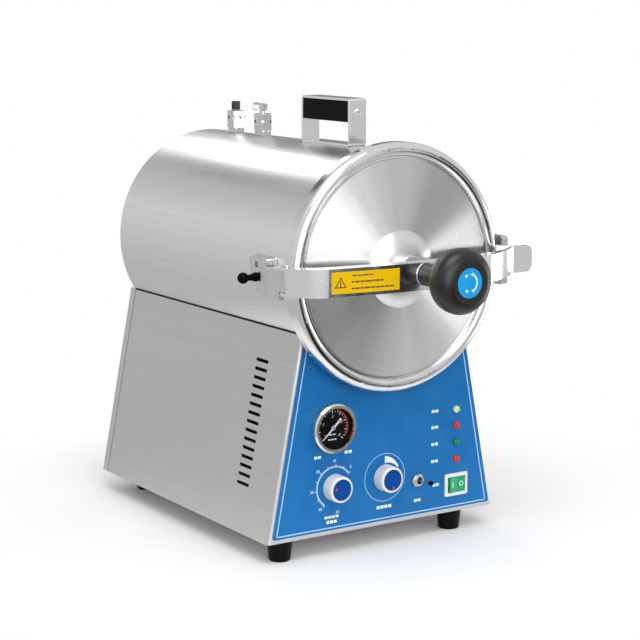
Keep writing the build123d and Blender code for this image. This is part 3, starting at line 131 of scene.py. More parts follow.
def mixed(tree, factor, first, second):
    """Colour between first, plain or linked, and the plain second, by a factor."""
    node = add(tree, "ShaderNodeMix", data_type="RGBA")
    if isinstance(first, tuple):
        node.inputs[COLOR_A].default_value = (*first, 1.0)
    else:
        tree.links.new(first, node.inputs[COLOR_A])
    node.inputs[COLOR_B].default_value = (*second, 1.0)
    tree.links.new(factor, node.inputs[0])
    return node.outputs[COLOR_OUT]


def maths(tree, operation, first, second):
    """Sum or product of a linked value and a second one, plain or linked."""
    node = add(tree, "ShaderNodeMath", operation=operation)
    tree.links.new(first, node.inputs[0])
    if isinstance(second, float):
        node.inputs[1].default_value = second
    else:
        tree.links.new(second, node.inputs[1])
    return node.outputs[0]


def vector_maths(tree, operation, point, second=None):
    """Vector maths on a linked point, with a plain second vector where one is needed."""
    node = add(tree, "ShaderNodeVectorMath", operation=operation)
    tree.links.new(point, node.inputs[0])
    if second is not None:
        node.inputs[1].default_value = second
    return node.outputs["Value" if operation in ("LENGTH", "DOT_PRODUCT") else "Vector"]


def bumped(tree, shader, height, depth, strength, edge=0.0):
    """Gives the shader a bump, over sharp edges rounded by the radius edge where it is given."""
    bump = add(tree, "ShaderNodeBump", Strength=strength, Distance=depth)
    tree.links.new(height, bump.inputs["Height"])
    if edge:
        bevel = add(tree, "ShaderNodeBevel", samples=4, Radius=edge)
        tree.links.new(bevel.outputs["Normal"], bump.inputs["Normal"])
    tree.links.new(bump.outputs["Normal"], shader.inputs["Normal"])


# Unevenness in waves per metre: smudges on steel, drift in plastic, clouds in lenses and glass.
SMUDGES, TURNED_SMUDGES = (9, 6, 9), (14, 14, 14)
DRIFT = (30, 30, 30)
LENS_CLOUDS, CLEAR_CLOUDS, WIPES = (260, 260, 260), (300, 300, 300), (60, 60, 60)
GRAIN_DETAIL, SKIN_DETAIL, REFLECTION_STREAK_DETAIL = 4.0, 2.0, 5.0


def brushed(name, light, dark, roughness, stretch, depth=0.02 * MM, aniso=0.0, edge=0.0):
    """Steel with straight grain: fine streaks in colour, roughness and bump, and soft smudges."""
    made, tree, shader = material(name, light, 1.0, roughness, Anisotropic=aniso)
    point = object_point(tree)
    grain = noise(tree, point, stretch, GRAIN_DETAIL)
    smudge = noise(tree, point, SMUDGES)
    tone = mixed(tree, ranged(tree, grain, 0, 1), light, dark)
    tree.links.new(tone, shader.inputs["Base Color"])
    rough = maths(
        tree, "ADD",
        ranged(tree, grain, roughness - 0.05, roughness + 0.07),
        ranged(tree, smudge, -0.02, 0.05),
    )
    tree.links.new(rough, shader.inputs["Roughness"])
    bumped(tree, shader, grain, depth, 0.25, edge)
    return made


TURNED_RINGS = 900.0
TURNED_DEPTH = 0.01 * MM
# Painted reflection on the lid: how finely its darker streaks vary by angle, and their colour.
REFLECTION_STREAK_SPREAD, REFLECTION_STREAK_DARK = (3, 3, 3), (0.10, 0.10, 0.10)
RIM_POLISH = 0.12


def spun(name, light, dark, roughness, centre, aniso, rim=None, reflection_streaks=0.0, dish=0.0):
    """Steel turned on a lathe: concentric grain about the front-to-back line through centre.

    Outside the radius rim, in millimetres, it is polished. Painted reflection: darker streaks
    by angle about the line, up to the given amount, stand in for dark reflected sectors; a dish
    leans the surface inwards by the given slope.
    """
    made, tree, shader = material(
        name, light, 1.0, roughness, Anisotropic=aniso, Anisotropic_Rotation=0.25)
    point = object_point(tree)
    shifted = vector_maths(tree, "SUBTRACT", point, centre)
    flat = vector_maths(tree, "MULTIPLY", shifted, (1, 0, 1))
    radius = vector_maths(tree, "LENGTH", flat)
    radius_point = add(tree, "ShaderNodeCombineXYZ")
    tree.links.new(radius, radius_point.inputs["X"])
    grain = noise(tree, radius_point.outputs[0], (TURNED_RINGS, 1, 1), GRAIN_DETAIL)
    smudge = noise(tree, point, TURNED_SMUDGES)
    tone = mixed(tree, ranged(tree, grain, 0, 1), light, dark)
    # Painted reflection: darker streaks by angle about the line stand in for dark reflected
    # sectors.
    if reflection_streaks:
        unit = vector_maths(tree, "NORMALIZE", flat)
        reflection_noise = noise(tree, unit, REFLECTION_STREAK_SPREAD, REFLECTION_STREAK_DETAIL)
        reflection_mask = ranged(tree, reflection_noise, 0.0, reflection_streaks, 0.35, 0.68)
        tone = mixed(tree, reflection_mask, tone, REFLECTION_STREAK_DARK)
    tree.links.new(tone, shader.inputs["Base Color"])
    rough = maths(
        tree, "ADD",
        ranged(tree, grain, roughness - 0.03, roughness + 0.05),
        ranged(tree, smudge, -0.01, 0.04),
    )
    if rim:
        outside = ranged(tree, radius, 0.0, 1.0, (rim - 1) * MM, (rim + 1) * MM)
        polish = add(tree, "ShaderNodeMix")
        tree.links.new(outside, polish.inputs[0])
        tree.links.new(rough, polish.inputs[NUMBER_A])
        polish.inputs[NUMBER_B].default_value = RIM_POLISH
        rough = polish.outputs[NUMBER_OUT]
    tree.links.new(rough, shader.inputs["Roughness"])
    tangent = add(tree, "ShaderNodeTangent", direction_type="RADIAL", axis="Y")
    tree.links.new(tangent.outputs[0], shader.inputs["Tangent"])
    if dish:
        bumped(tree, shader, maths(tree, "MULTIPLY", radius, -dish), 1.0, 1.0)
    else:
        bumped(tree, shader, grain, TURNED_DEPTH, 0.3)
    return made


def moulded(name, color, shade, roughness, texture, depth, edge=0.0, **sockets):
    """Moulded plastic or rubber: a fine skin texture, uneven gloss and slight colour drift."""
    made, tree, shader = material(name, color, 0.0, roughness, **sockets)
    point = object_point(tree)
    skin_height = noise(tree, point, (texture, texture, texture), SKIN_DETAIL)
    drift = noise(tree, point, DRIFT)
    tone = mixed(tree, ranged(tree, drift, 0, 1), color, shade)
    gloss = ranged(tree, drift, roughness - 0.05, roughness + 0.08)
    tree.links.new(tone, shader.inputs["Base Color"])
    tree.links.new(gloss, shader.inputs["Roughness"])
    bumped(tree, shader, skin_height, depth, 0.4, edge)
    return made


def lit_lens(name, color, shade, glow, strength):
    """Coloured lens over a lamp: cloudy colour, glossy skin and a little light of its own."""
    made, tree, shader = material(
        name, color, 0.0, 0.18, Coat_Weight=0.3, Coat_Roughness=0.05, Specular_IOR_Level=0.3)
    cloud = noise(tree, object_point(tree), LENS_CLOUDS, SKIN_DETAIL)
    tone = mixed(tree, ranged(tree, cloud, 0, 1), color, shade)
    tree.links.new(tone, shader.inputs["Base Color"])
    tree.links.new(ranged(tree, cloud, 0.12, 0.24), shader.inputs["Roughness"])
    shader.inputs["Emission Color"].default_value = (*glow, 1.0)
    shader.inputs["Emission Strength"].default_value = strength
    return made


# ---------------------------------------------------------------- materials

# Grain in waves per metre: from front to back, across the width, upright on small parts, and
# without a direction.
FINE, LONG = 900.0, 2.5
GRAIN_BACK = (FINE, LONG, FINE)
GRAIN_ACROSS = (LONG, FINE, FINE)
GRAIN_UPRIGHT = (300, 300, 40)
GRAIN_EVEN = (300, 300, 300)
CHAMBER_LINE = (AXIS_X, 0, AXIS_Z)

drum_steel = brushed(
    "drum_steel", (0.82, 0.82, 0.81), (0.77, 0.77, 0.76), 0.28, GRAIN_BACK,
    depth=0.006 * MM, aniso=0.3)
side_steel = brushed(
    "side_steel", (0.62, 0.62, 0.62), (0.57, 0.57, 0.57), 0.36, GRAIN_BACK,
    depth=0.008 * MM, edge=0.6 * MM)
sheet_steel = brushed(
    "sheet_steel", (0.66, 0.66, 0.65), (0.56, 0.56, 0.55), 0.36, GRAIN_ACROSS, edge=0.6 * MM)
# The lid's darker streaks by angle are painted reflection.
lid_steel = spun(
    "lid_steel", (0.90, 0.90, 0.90), (0.84, 0.84, 0.84), 0.27, CHAMBER_LINE, 0.95,
    rim=130.0, reflection_streaks=0.16, dish=0.07)
boss_steel = spun(
    "boss_steel", (0.88, 0.88, 0.88), (0.80, 0.80, 0.80), 0.30, CHAMBER_LINE, 0.8)
polished_steel = brushed(
    "polished_steel", (0.90, 0.90, 0.90), (0.84, 0.84, 0.84), 0.12, GRAIN_ACROSS,
    depth=0.006 * MM, edge=0.5 * MM)
machined_steel = brushed(
    "machined_steel", (0.76, 0.76, 0.75), (0.62, 0.62, 0.61), 0.24, GRAIN_UPRIGHT,
    depth=0.01 * MM, edge=0.5 * MM)
dark_steel = brushed(
    "dark_steel", (0.10, 0.10, 0.10), (0.06, 0.06, 0.06), 0.30, GRAIN_UPRIGHT,
    depth=0.01 * MM, edge=0.3 * MM)
chamber_steel = brushed(
    "chamber_steel", (0.72, 0.72, 0.71), (0.62, 0.62, 0.61), 0.30, GRAIN_BACK)
warm_chrome = spun(
    "warm_chrome", (0.86, 0.82, 0.75), (0.78, 0.74, 0.67), 0.12, tuple(GAUGE), 0.2)
brass = brushed(
    "brass", (0.72, 0.52, 0.24), (0.62, 0.44, 0.20), 0.25, GRAIN_EVEN, edge=0.5 * MM)

blue_film = moulded(
    "blue_film", (0.006, 0.130, 0.370), (0.008, 0.145, 0.400), 0.34, 900, 0.01 * MM,
    Specular_IOR_Level=0.2)
black_rubber = moulded(
    "black_rubber", (0.001, 0.002, 0.002), (0.002, 0.003, 0.003), 0.38, 1800, 0.04 * MM,
    edge=0.8 * MM, Specular_IOR_Level=0.10)
pale_rubber = moulded(
    "pale_rubber", (0.70, 0.69, 0.64), (0.62, 0.61, 0.56), 0.6, 1200, 0.05 * MM)
wheel_plastic = moulded(
    "wheel_plastic", (0.004, 0.004, 0.005), (0.007, 0.008, 0.008), 0.32, 1600, 0.015 * MM,
    Specular_IOR_Level=0.5)
black_plastic = moulded(
    "black_plastic", (0.001, 0.001, 0.001), (0.002, 0.002, 0.002), 0.35, 1600, 0.03 * MM,
    edge=0.8 * MM, Specular_IOR_Level=0.05)
white_plastic = moulded(
    "white_plastic", (0.76, 0.76, 0.76), (0.70, 0.70, 0.70), 0.28, 1400, 0.01 * MM,
    edge=0.6 * MM, Coat_Weight=0.2, Coat_Roughness=0.15)
cap_blue = moulded(
    "cap_blue", (0.001, 0.048, 0.250), (0.001, 0.054, 0.270), 0.32, 900, 0.01 * MM,
    Specular_IOR_Level=0.1)
badge_blue = moulded(
    "badge_blue", (0.004, 0.290, 0.640), (0.006, 0.320, 0.680), 0.30, 900, 0.01 * MM,
    Specular_IOR_Level=0.3)
dial_black = moulded(
    "dial_black", (0.003, 0.005, 0.004), (0.004, 0.006, 0.005), 0.6, 1400, 0.01 * MM,
    Specular_IOR_Level=0.05)
insulation = moulded(
    "insulation", (0.62, 0.56, 0.38), (0.52, 0.46, 0.30), 0.9, 300, 0.6 * MM)
red_paint = moulded(
    "red_paint", (0.45, 0.02, 0.015), (0.38, 0.02, 0.015), 0.35, 700, 0.02 * MM)

print_white = moulded(
    "print_white", (0.80, 0.85, 0.90), (0.74, 0.80, 0.87), 0.4, 1500, 0.005 * MM)
print_line = moulded(
    "print_line", (0.42, 0.62, 0.86), (0.38, 0.58, 0.84), 0.4, 1500, 0.005 * MM)
print_red = moulded(
    "print_red", (0.62, 0.02, 0.03), (0.55, 0.02, 0.03), 0.4, 1500, 0.005 * MM)
print_dark = moulded(
    "print_dark", (0.05, 0.045, 0.03), (0.07, 0.06, 0.04), 0.5, 1500, 0.005 * MM)
label_yellow = moulded(
    "label_yellow", (0.72, 0.44, 0.001), (0.75, 0.47, 0.001), 0.40, 900, 0.008 * MM,
    Specular_IOR_Level=0.12)

green_lens = lit_lens(
    "green_lens", (0.004, 0.130, 0.075), (0.006, 0.20, 0.11), (0.01, 0.30, 0.16), 0.05)
red_lens = lit_lens(
    "red_lens", (0.42, 0.010, 0.010), (0.60, 0.02, 0.015), (0.8, 0.02, 0.01), 0.12)
rocker_green = lit_lens(
    "rocker_green", (0.002, 0.210, 0.085), (0.004, 0.27, 0.12), (0.01, 0.55, 0.24), 0.14)

CLEAR_MILKY, CLEAR_GREEN = (0.72, 0.66, 0.50), (0.10, 0.62, 0.05)
CLEAR_MARGIN = 3.5 * MM


def clear_lens_material():
    """Clear lens, milky at its left and green where the lamp behind it shines through."""
    made, tree, shader = material("clear_lens", (0.8, 0.8, 0.7), 0.0, 0.15, Coat_Weight=0.6)
    low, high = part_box("lamp_lens_clear")
    point = object_point(tree)
    split = add(tree, "ShaderNodeSeparateXYZ")
    tree.links.new(point, split.inputs[0])
    across = ranged(
        tree, split.outputs["X"], 0.0, 1.0, low.x + CLEAR_MARGIN, high.x - CLEAR_MARGIN)
    tree.links.new(mixed(tree, across, CLEAR_MILKY, CLEAR_GREEN), shader.inputs["Base Color"])
    shader.inputs["Emission Color"].default_value = (0.12, 0.55, 0.08, 1.0)
    shader.inputs["Emission Strength"].default_value = 0.15
    cloud = noise(tree, point, CLEAR_CLOUDS)
    tree.links.new(ranged(tree, cloud, 0.10, 0.22), shader.inputs["Roughness"])
    return made


def window_material():
    """Clear gauge glass with a faint, uneven polish."""
    made, tree, shader = material(
        "gauge_window", (0.98, 0.99, 0.99), 0.0, 0.02, Transmission_Weight=1.0, IOR=1.12)
    wipe = noise(tree, object_point(tree), WIPES)
    tree.links.new(ranged(tree, wipe, 0.01, 0.05), shader.inputs["Roughness"])
    return made


clear_lens = clear_lens_material()
window = window_material()

FINISH = {
    drum_steel: ["drum_casing", "drum_rear_cover"],
    side_steel: ["side_panel_left", "side_panel_right"],
    sheet_steel: ["front_panel", "rear_panel", "base_pan", "chamber_supports"],
    lid_steel: ["lid", "chamber_flange"],
    boss_steel: ["lid_boss"],
    polished_steel: ["lid_arm", "handle_frame"],
    machined_steel: [
        "clamp_spindle", "vent_valve_body", "relief_valve_body", "relief_valve_lever",
        "hinge_pin", "hinge_bracket", "latch_bracket", "lock_plate", "lock_housing",
        "handle_screws", "foot_screws", "toggle_switch_body", "toggle_lever",
    ],
    chamber_steel: ["chamber_vessel", "heater_element", "tray_rack", "tray_lower", "tray_upper"],
    warm_chrome: ["gauge_case"],
    blue_film: ["front_overlay"],
    black_rubber: ["feet"],
    pale_rubber: ["lid_gasket"],
    wheel_plastic: ["handwheel"],
    black_plastic: [
        "handle_grip", "lock_plunger", "toggle_lever_tip", "power_inlet", "lamp_holders",
        "thermostat_body", "timer_mechanism",
    ],
    white_plastic: ["timer_knob", "thermostat_knob", "power_switch_frame", "gauge_needle"],
    cap_blue: ["timer_knob_cap", "thermostat_knob_cap"],
    badge_blue: ["handwheel_badge"],
    dial_black: ["gauge_dial"],
    insulation: ["insulation_jacket"],
    brass: ["drain_cock_body"],
    red_paint: ["drain_cock_lever"],
    dark_steel: ["vent_valve_cap"],
    clear_lens: ["lamp_lens_clear"],
    green_lens: ["lamp_lens_green"],
    red_lens: ["lamp_lenses_red"],
    rocker_green: ["power_switch_rocker"],
    window: ["gauge_glass"],
}
for finish, wearers in FINISH.items():
    for wearer in wearers:
        nodes[wearer].data.materials.clear()
        nodes[wearer].data.materials.append(finish)

# ---------------------------------------------------------------- flat shapes, in millimetres

# A bar is cut into lengths of about this much, so that it can follow a curved surface.
RIBBON_STEP = 4
WORD_GAP = 1.1
DISC_SIDES = 40


def clock(u, v, radius, angle):
    """Point at a radius about (u, v), at an angle clockwise from twelve o'clock."""
    turn = math.radians(angle)
    return u + radius * math.sin(turn), v + radius * math.cos(turn)


def bar(u, v, width, height, turn=0.0):
    """Rectangle about (u, v), turned clockwise by degrees, as a ribbon along its width."""
    cos, sin = math.cos(math.radians(turn)), math.sin(math.radians(turn))
    steps = max(1, round(width / RIBBON_STEP))
    across = [width * (step / steps - 0.5) for step in range(steps + 1)]

    def edge(b):
        return [(u + a * cos + b * sin, v - a * sin + b * cos) for a in across]

    return edge(-height / 2), edge(height / 2)


def spoke(u, v, inner, outer, width, angle):
    """Bar from inner to outer radius about (u, v), at an angle clockwise from twelve o'clock."""
    return bar(*clock(u, v, (inner + outer) / 2, angle), width, outer - inner, angle)


def sector(u, v, start, stop, inner, outer, inner_end=None, outer_end=None, steps=32):
    """Part of a ring between two clockwise angles; its radii may change on the way."""
    inner_end = inner if inner_end is None else inner_end
    outer_end = outer if outer_end is None else outer_end

    def edge(first, last):
        parts = [step / steps for step in range(steps + 1)]
        return [
            clock(u, v, first + (last - first) * part, start + (stop - start) * part)
            for part in parts
        ]

    return edge(inner, inner_end), edge(outer, outer_end)


def ring(u, v, inner, outer, steps=48):
    """Whole ring about (u, v), in two halves."""
    return [sector(u, v, start, start + 180, inner, outer, steps=steps) for start in (0, 180)]


def disc(u, v, radius):
    angles = [2 * math.pi * step / DISC_SIDES for step in range(DISC_SIDES)]
    return [(u + radius * math.cos(angle), v + radius * math.sin(angle)) for angle in angles]


def triangle(u, v, side):
    """Upright triangle with equal sides about (u, v)."""
    tall = side * math.sqrt(3) / 2
    return [(u - side / 2, v - tall / 3), (u + side / 2, v - tall / 3), (u, v + 2 * tall / 3)]


def words(u, v, lengths, height):
    """Row of plain bars about (u, v) that stands where a printed name would."""
    left = u - (sum(lengths) + WORD_GAP * (len(lengths) - 1)) / 2
    made = []
    for length in lengths:
        made.append(bar(left + length / 2, v, length, height))
        left += length + WORD_GAP
    return made


def from_axis(spot):
    """Millimetres across and up from the chamber's line."""
    return (spot.x - AXIS_X) / MM, (spot.z - AXIS_Z) / MM


# ---------------------------------------------------------------- putting them on the object

# How far a printed layer reaches into the surface below it, and where the search for a
# surface starts, in front of the whole object.
ROOT_DEPTH = 0.02 * MM
SEARCH_FROM = cad_box[0][1] - 1.0


def on_front(y):
    """Places (u, v), measured from the chamber's line, on the plane at y that faces the front."""
    return lambda u, v: (Vector((AXIS_X + u * MM, y, AXIS_Z + v * MM)), Vector((0, -1, 0)))


def on_node(name):
    """Places (u, v), measured from the chamber's line, on a CAD node as met from the front."""
    node = nodes[name]

    def place(u, v):
        start = Vector((AXIS_X + u * MM, SEARCH_FROM, AXIS_Z + v * MM))
        found, point, normal, _ = node.ray_cast(start, Vector((0, 1, 0)))
        if not found:
            raise SystemExit(f"nothing of {name} is in front of {u}, {v}")
        return point, normal

    return place


def piece(name, mesh, finish, body):
    """Makes an object of the bmesh and lets it ride on a body of the frame."""
    data = bpy.data.meshes.new(name)
    bmesh.ops.recalc_face_normals(mesh, faces=mesh.faces)
    mesh.to_mesh(data)
    mesh.free()
    data.materials.append(finish)
    made = bpy.data.objects.new(name, data)
    bpy.context.collection.objects.link(made)
    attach(made, body)


def loop(mesh, centre, first, second, radius, sides):
    """Round loop of corners about centre, in the plane of two directions."""
    turns = [2 * math.pi * step / sides for step in range(sides)]
    return [
        mesh.verts.new(centre + (first * math.cos(turn) + second * math.sin(turn)) * radius)
        for turn in turns
    ]


def skin(mesh, first, second):
    """Faces between two loops with the same number of corners."""
    for index in range(len(first)):
        after = (index + 1) % len(first)
        mesh.faces.new((first[index], second[index], second[after], first[after]))


def lay_outline(mesh, outline, place, height):
    """Adds a thin layer in the shape of a list of corners, or of a ribbon's two long edges."""
    ribbon = isinstance(outline, tuple)
    corners = outline[0] + outline[1][::-1] if ribbon else outline
    spots = [place(u, v) for u, v in corners]
    top = [mesh.verts.new(point + out * height) for point, out in spots]
    foot = [mesh.verts.new(point - out * ROOT_DEPTH) for point, out in spots]
    for side in (top, foot):
        if not ribbon:
            mesh.faces.new(side)
            continue
        for index in range(len(side) // 2 - 1):
            mesh.faces.new((side[index], side[index + 1], side[-index - 2], side[-index - 1]))
    skin(mesh, top, foot)


def lay_number(mesh, text, u, v, size, place, height):
    """Adds a number about (u, v) to the mesh, raised by height."""
    curve = bpy.data.curves.new("number", "FONT")
    curve.body, curve.size, curve.align_x, curve.align_y = text, size, "CENTER", "CENTER"
    curve.extrude, curve.resolution_u = 0.02, 2
    drawn = bpy.data.objects.new("number", curve)
    solid = drawn.to_mesh()
    made = [mesh.verts.new((0, 0, 0)) for _ in solid.vertices]
    for vertex, spot in zip(made, solid.vertices):
        point, out = place(u + spot.co.x, v + spot.co.y)
        vertex.co = point + out * (height if spot.co.z > 0 else 0)
    for face in solid.polygons:
        mesh.faces.new([made[index] for index in face.vertices])
    drawn.to_mesh_clear()
    bpy.data.objects.remove(drawn)
    bpy.data.curves.remove(curve)


def raised(name, outlines, place, finish, body, height=0.06 * MM, numbers=()):
    """Thin layer on a surface, in the shape of the outlines and numbers."""
    mesh = bmesh.new()
    for outline in outlines:
        lay_outline(mesh, outline, place, height)
    for text, u, v, size in numbers:
        lay_number(mesh, text, u, v, size, place, height)
    piece(name, mesh, finish, body)


panel = on_front(PANEL)
timer = from_axis(TIMER)
thermostat = from_axis(THERMOSTAT)
gauge = from_axis(GAUGE)

# Border line along the film's three straight edges. Each side of the film leans inwards by
# SLOPE; the line stands in from the sides and up from the bottom, and ends below the drum.
SLOPE = 0.1932
LINE = 1.3
LINE_IN, LINE_UP, LINE_TOP = 4.2, 2.6, -84.0
film_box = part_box("front_overlay")
film_low = (film_box[0].z - AXIS_Z) / MM
film_half = (film_box[1].x - film_box[0].x) / 2 / MM
line_low = film_low + LINE_UP


def film_side(v, inset):
    """Half of the film's width at the height v, less an inset."""
    return film_half - (v - film_low) * SLOPE - inset


border = []
for hand in (-1, 1):
    border.append([
        (hand * film_side(line_low, LINE_IN), line_low),
        (hand * film_side(LINE_TOP, LINE_IN), LINE_TOP),
        (hand * film_side(LINE_TOP, LINE_IN + LINE), LINE_TOP),
        (hand * film_side(line_low, LINE_IN + LINE), line_low),
    ])
border.append([
    (-film_side(line_low, LINE_IN), line_low),
    (film_side(line_low, LINE_IN), line_low),
    (film_side(line_low + LINE, LINE_IN), line_low + LINE),
    (-film_side(line_low + LINE, LINE_IN), line_low + LINE),
])
raised("panel_border", border, panel, print_line, "cabinet")

# Plain bars where a panel of this kind has its names: middle, lengths and height of each row.
LAMP_ROWS = (-188.7, -209.2, -230.6, -252.4)
PANEL_NAMES = [(75.5, row + 1, (4.6, 4.6), 3.4) for row in LAMP_ROWS] + [
    (-98, -223, (4.2, 4.2), 3.2),  # above the timer, left
    (-54, -221.5, (4.6, 4.6), 3.6),  # above the timer, right
    (-1, -298, (4.6, 4.6, 4.6, 4.6), 3.8),  # below the thermostat
    (49.6, -297.4, (4.4, 4.4), 3.6),  # below the toggle switch
    (77.8, -282, (4.2, 4.2), 3.6),  # beside the power switch
    (-78, -299, (4.2, 4.2, 4.2, 4.2), 3.0),  # below the timer, first line
    (-78, -305, (4.2, 4.2, 4.2), 3.6),  # below the timer, second line
]
name_bars = [made for row in PANEL_NAMES for made in words(*row)]
raised("panel_names", name_bars, panel, print_white, "cabinet")

# Painted shade: dark strips where the cabinet's sides meet the drum stand in for the gap's
# shadow.
SHADOW_STRIP_R, SHADOW_STRIP_SIDES = 1.6 * MM, 12
SHADOW_STRIP_BELOW, SHADOW_STRIP_BACK = 1.2 * MM, 6 * MM
drum_low, drum_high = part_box("drum_casing")
drum_radius = (drum_high.x - drum_low.x) / 2
for hand, side in ((-1, "side_panel_left"), (1, "side_panel_right")):
    side_low, side_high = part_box(side)
    below = AXIS_Z - side_high.z + SHADOW_STRIP_BELOW
    across = AXIS_X + hand * math.sqrt(drum_radius ** 2 - below ** 2)
    shadow_strip = bmesh.new()
    front, rear = (
        loop(shadow_strip, Vector((across, y, AXIS_Z - below)), Vector((1, 0, 0)), Vector((0, 0, 1)),
             SHADOW_STRIP_R, SHADOW_STRIP_SIDES)
        for y in (side_low.y + SHADOW_STRIP_BACK, side_high.y)
    )
    skin(shadow_strip, front, rear)
    shadow_strip.faces.new(front)
    shadow_strip.faces.new(rear)
    # Painted shade: each strip takes the black finish of the feet.
    piece(side.replace("side_panel", "seam_shadow_strip"), shadow_strip, black_rubber, "cabinet")

# Timer scale: an arc with ticks, every fifth of them long, and numbers.
SCALE_START, SCALE_STOP, TICK_TURN = -145, 55, 5
SCALE_R, SCALE_LINE = 24.4, 0.8
TICK_FROM, TICK_TO, LONG_TICK_TO = 25, 26.8, 28.2
TICK_WIDE, LONG_TICK_WIDE = 0.45, 0.7
NUMBER_TURN, NUMBER_R, NUMBER_SIZE = 47, 32.2, 5.0
scale = [sector(*timer, SCALE_START, SCALE_STOP, SCALE_R, SCALE_R + SCALE_LINE, steps=64)]
for step in range((SCALE_STOP - SCALE_START) // TICK_TURN + 1):
    long = step % 5 == 0
    scale.append(spoke(
        *timer, TICK_FROM, LONG_TICK_TO if long else TICK_TO,
        LONG_TICK_WIDE if long else TICK_WIDE, SCALE_START + step * TICK_TURN))
timer_numbers = [
    (text, *clock(*timer, NUMBER_R, NUMBER_TURN - NUMBER_TURN * index), NUMBER_SIZE)
    for index, text in enumerate(("0", "10", "20", "30", "40", "50"))
]
raised("timer_scale", scale, panel, print_white, "cabinet", numbers=timer_numbers)

# Thermostat scale: a thin ring and a wedge that narrows as it turns.
RING_R, RING_LINE = 29.4, 0.7
WEDGE_TURN, WEDGE_FROM, WEDGE_TO, WEDGE_TIP_FROM, WEDGE_TIP_TO = 62, 17.5, 26.6, 21.6, 23.0
circle = ring(*thermostat, RING_R, RING_R + RING_LINE)
raised("thermostat_ring", circle, panel, print_line, "cabinet")
wedge = sector(
    *thermostat, 0, WEDGE_TURN, WEDGE_FROM, WEDGE_TO, WEDGE_TIP_FROM, WEDGE_TIP_TO)
raised("thermostat_wedge", [wedge], panel, print_white, "cabinet")

# Gauge face: ticks, every third of them long, numbers, name bars and the scale's red part.
DIAL_START, DIAL_SWEEP, DIAL_TICKS = -135, 270, 24
DIAL_NUMBERS = ("0", ".1", ".2", ".3", ".4")
DIAL_NUMBER_R, DIAL_NUMBER_SIZE = 13.8, 4.6
DIAL_TICK_TO, DIAL_TICK_FROM, DIAL_LONG_FROM = 20.8, 19.0, 17.5
DIAL_TICK_WIDE, DIAL_LONG_WIDE = 0.45, 0.9
RED_START, RED_STOP, RED_FROM, RED_TO = 20, 122, 21.0, 22.6
face = on_front(DIAL)
marks = []
for step in range(DIAL_TICKS + 1):
    long = step % 3 == 0
    marks.append(spoke(
        *gauge, DIAL_LONG_FROM if long else DIAL_TICK_FROM, DIAL_TICK_TO,
        DIAL_LONG_WIDE if long else DIAL_TICK_WIDE, DIAL_START + step * DIAL_SWEEP / DIAL_TICKS))
marks += words(gauge[0], gauge[1] - 8.5, (4, 4), 1.6)
marks += words(gauge[0], gauge[1] - 14.5, (3, 3, 3), 1.6)
number_turn = DIAL_SWEEP / (len(DIAL_NUMBERS) - 1)
dial_numbers = [
    (text, *clock(*gauge, DIAL_NUMBER_R, DIAL_START + number_turn * index), DIAL_NUMBER_SIZE)
    for index, text in enumerate(DIAL_NUMBERS)
]
raised("gauge_marks", marks, face, print_white, "cabinet", numbers=dial_numbers)
red_arc = sector(*gauge, RED_START, RED_STOP, RED_FROM, RED_TO, steps=48)
raised("gauge_red_arc", [red_arc], face, print_red, "cabinet")

# Dots near the rims of the knob caps.
timer_dot = disc(timer[0] - 8.2, timer[1] + 1.5, 1.5)
raised("timer_dot", [timer_dot], on_node("timer_knob_cap"), print_red, "timer_knob")
thermostat_dot = disc(thermostat[0] + 1.2, thermostat[1] - 9.5, 1.4)
raised(
    "thermostat_dot", [thermostat_dot], on_node("thermostat_knob_cap"), print_red,
    "thermostat_knob")

# Pull ring through the end of the relief valve's lever.
PULL_R, PULL_WIRE = 5.0 * MM, 0.7 * MM
PULL_SIDES, WIRE_SIDES = 32, 8
PULL_IN, PULL_UP = 1.6 * MM, 0.9 * MM
lever_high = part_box("relief_valve_lever")[1]
pull_middle = Vector((AXIS_X, lever_high.y - PULL_IN, lever_high.z + PULL_UP - PULL_R))
pull = bmesh.new()
hoops = []
for step in range(PULL_SIDES):
    turn = 2 * math.pi * step / PULL_SIDES
    out = Vector((math.cos(turn), 0, math.sin(turn)))
    hoops.append(
        loop(pull, pull_middle + out * PULL_R, out, Vector((0, 1, 0)), PULL_WIRE, WIRE_SIDES))
for first, second in zip(hoops, hoops[1:] + hoops[:1]):
    skin(pull, first, second)
piece("pull_ring", pull, machined_steel, "relief_lever")

# Turning arrows on the handwheel's badge: a long arc with its heads, and two short arcs.
arrows = [
    sector(0, 0, 18, 150, 9.2, 11.0, steps=40),
    [(0.6, 9.6), (4.4, 7.6), (4.6, 12.0)],
    [(2.2, -9.6), (6.0, -10.8), (4.8, -7.0)],
    sector(0, 0, 318, 338, 8.4, 11.2, steps=6),
    sector(0, 0, 196, 216, 8.4, 11.2, steps=6),
]
raised("badge_arrows", arrows, on_node("handwheel_badge"), print_white, "handwheel")

# Yellow label on the arm, with a triangular sign and plain bars.
LABEL_LEFT, LABEL_RIGHT, LABEL_LOW, LABEL_HIGH = -125.0, -38.0, -14.5, 10.5
SIGN_U, SIGN_V, SIGN_OUTER, SIGN_INNER = -114.0, -3.6, 15.0, 10.6
arm = on_node("lid_arm")
label = bar(
    (LABEL_LEFT + LABEL_RIGHT) / 2, (LABEL_LOW + LABEL_HIGH) / 2,
    LABEL_RIGHT - LABEL_LEFT, LABEL_HIGH - LABEL_LOW)
raised("arm_label", [label], arm, label_yellow, "arm", height=0.12 * MM)
outer, inner = triangle(SIGN_U, SIGN_V, SIGN_OUTER), triangle(SIGN_U, SIGN_V, SIGN_INNER)
drawing = [
    [outer[side], outer[(side + 1) % 3], inner[(side + 1) % 3], inner[side]] for side in range(3)
]
drawing.append(bar(SIGN_U, SIGN_V + 1.0, 1.6, 4.4))
drawing.append(bar(SIGN_U, SIGN_V - 2.4, 1.6, 1.4))
drawing += words(-86.5, 5.6, (6, 5, 7, 5), 1.5)
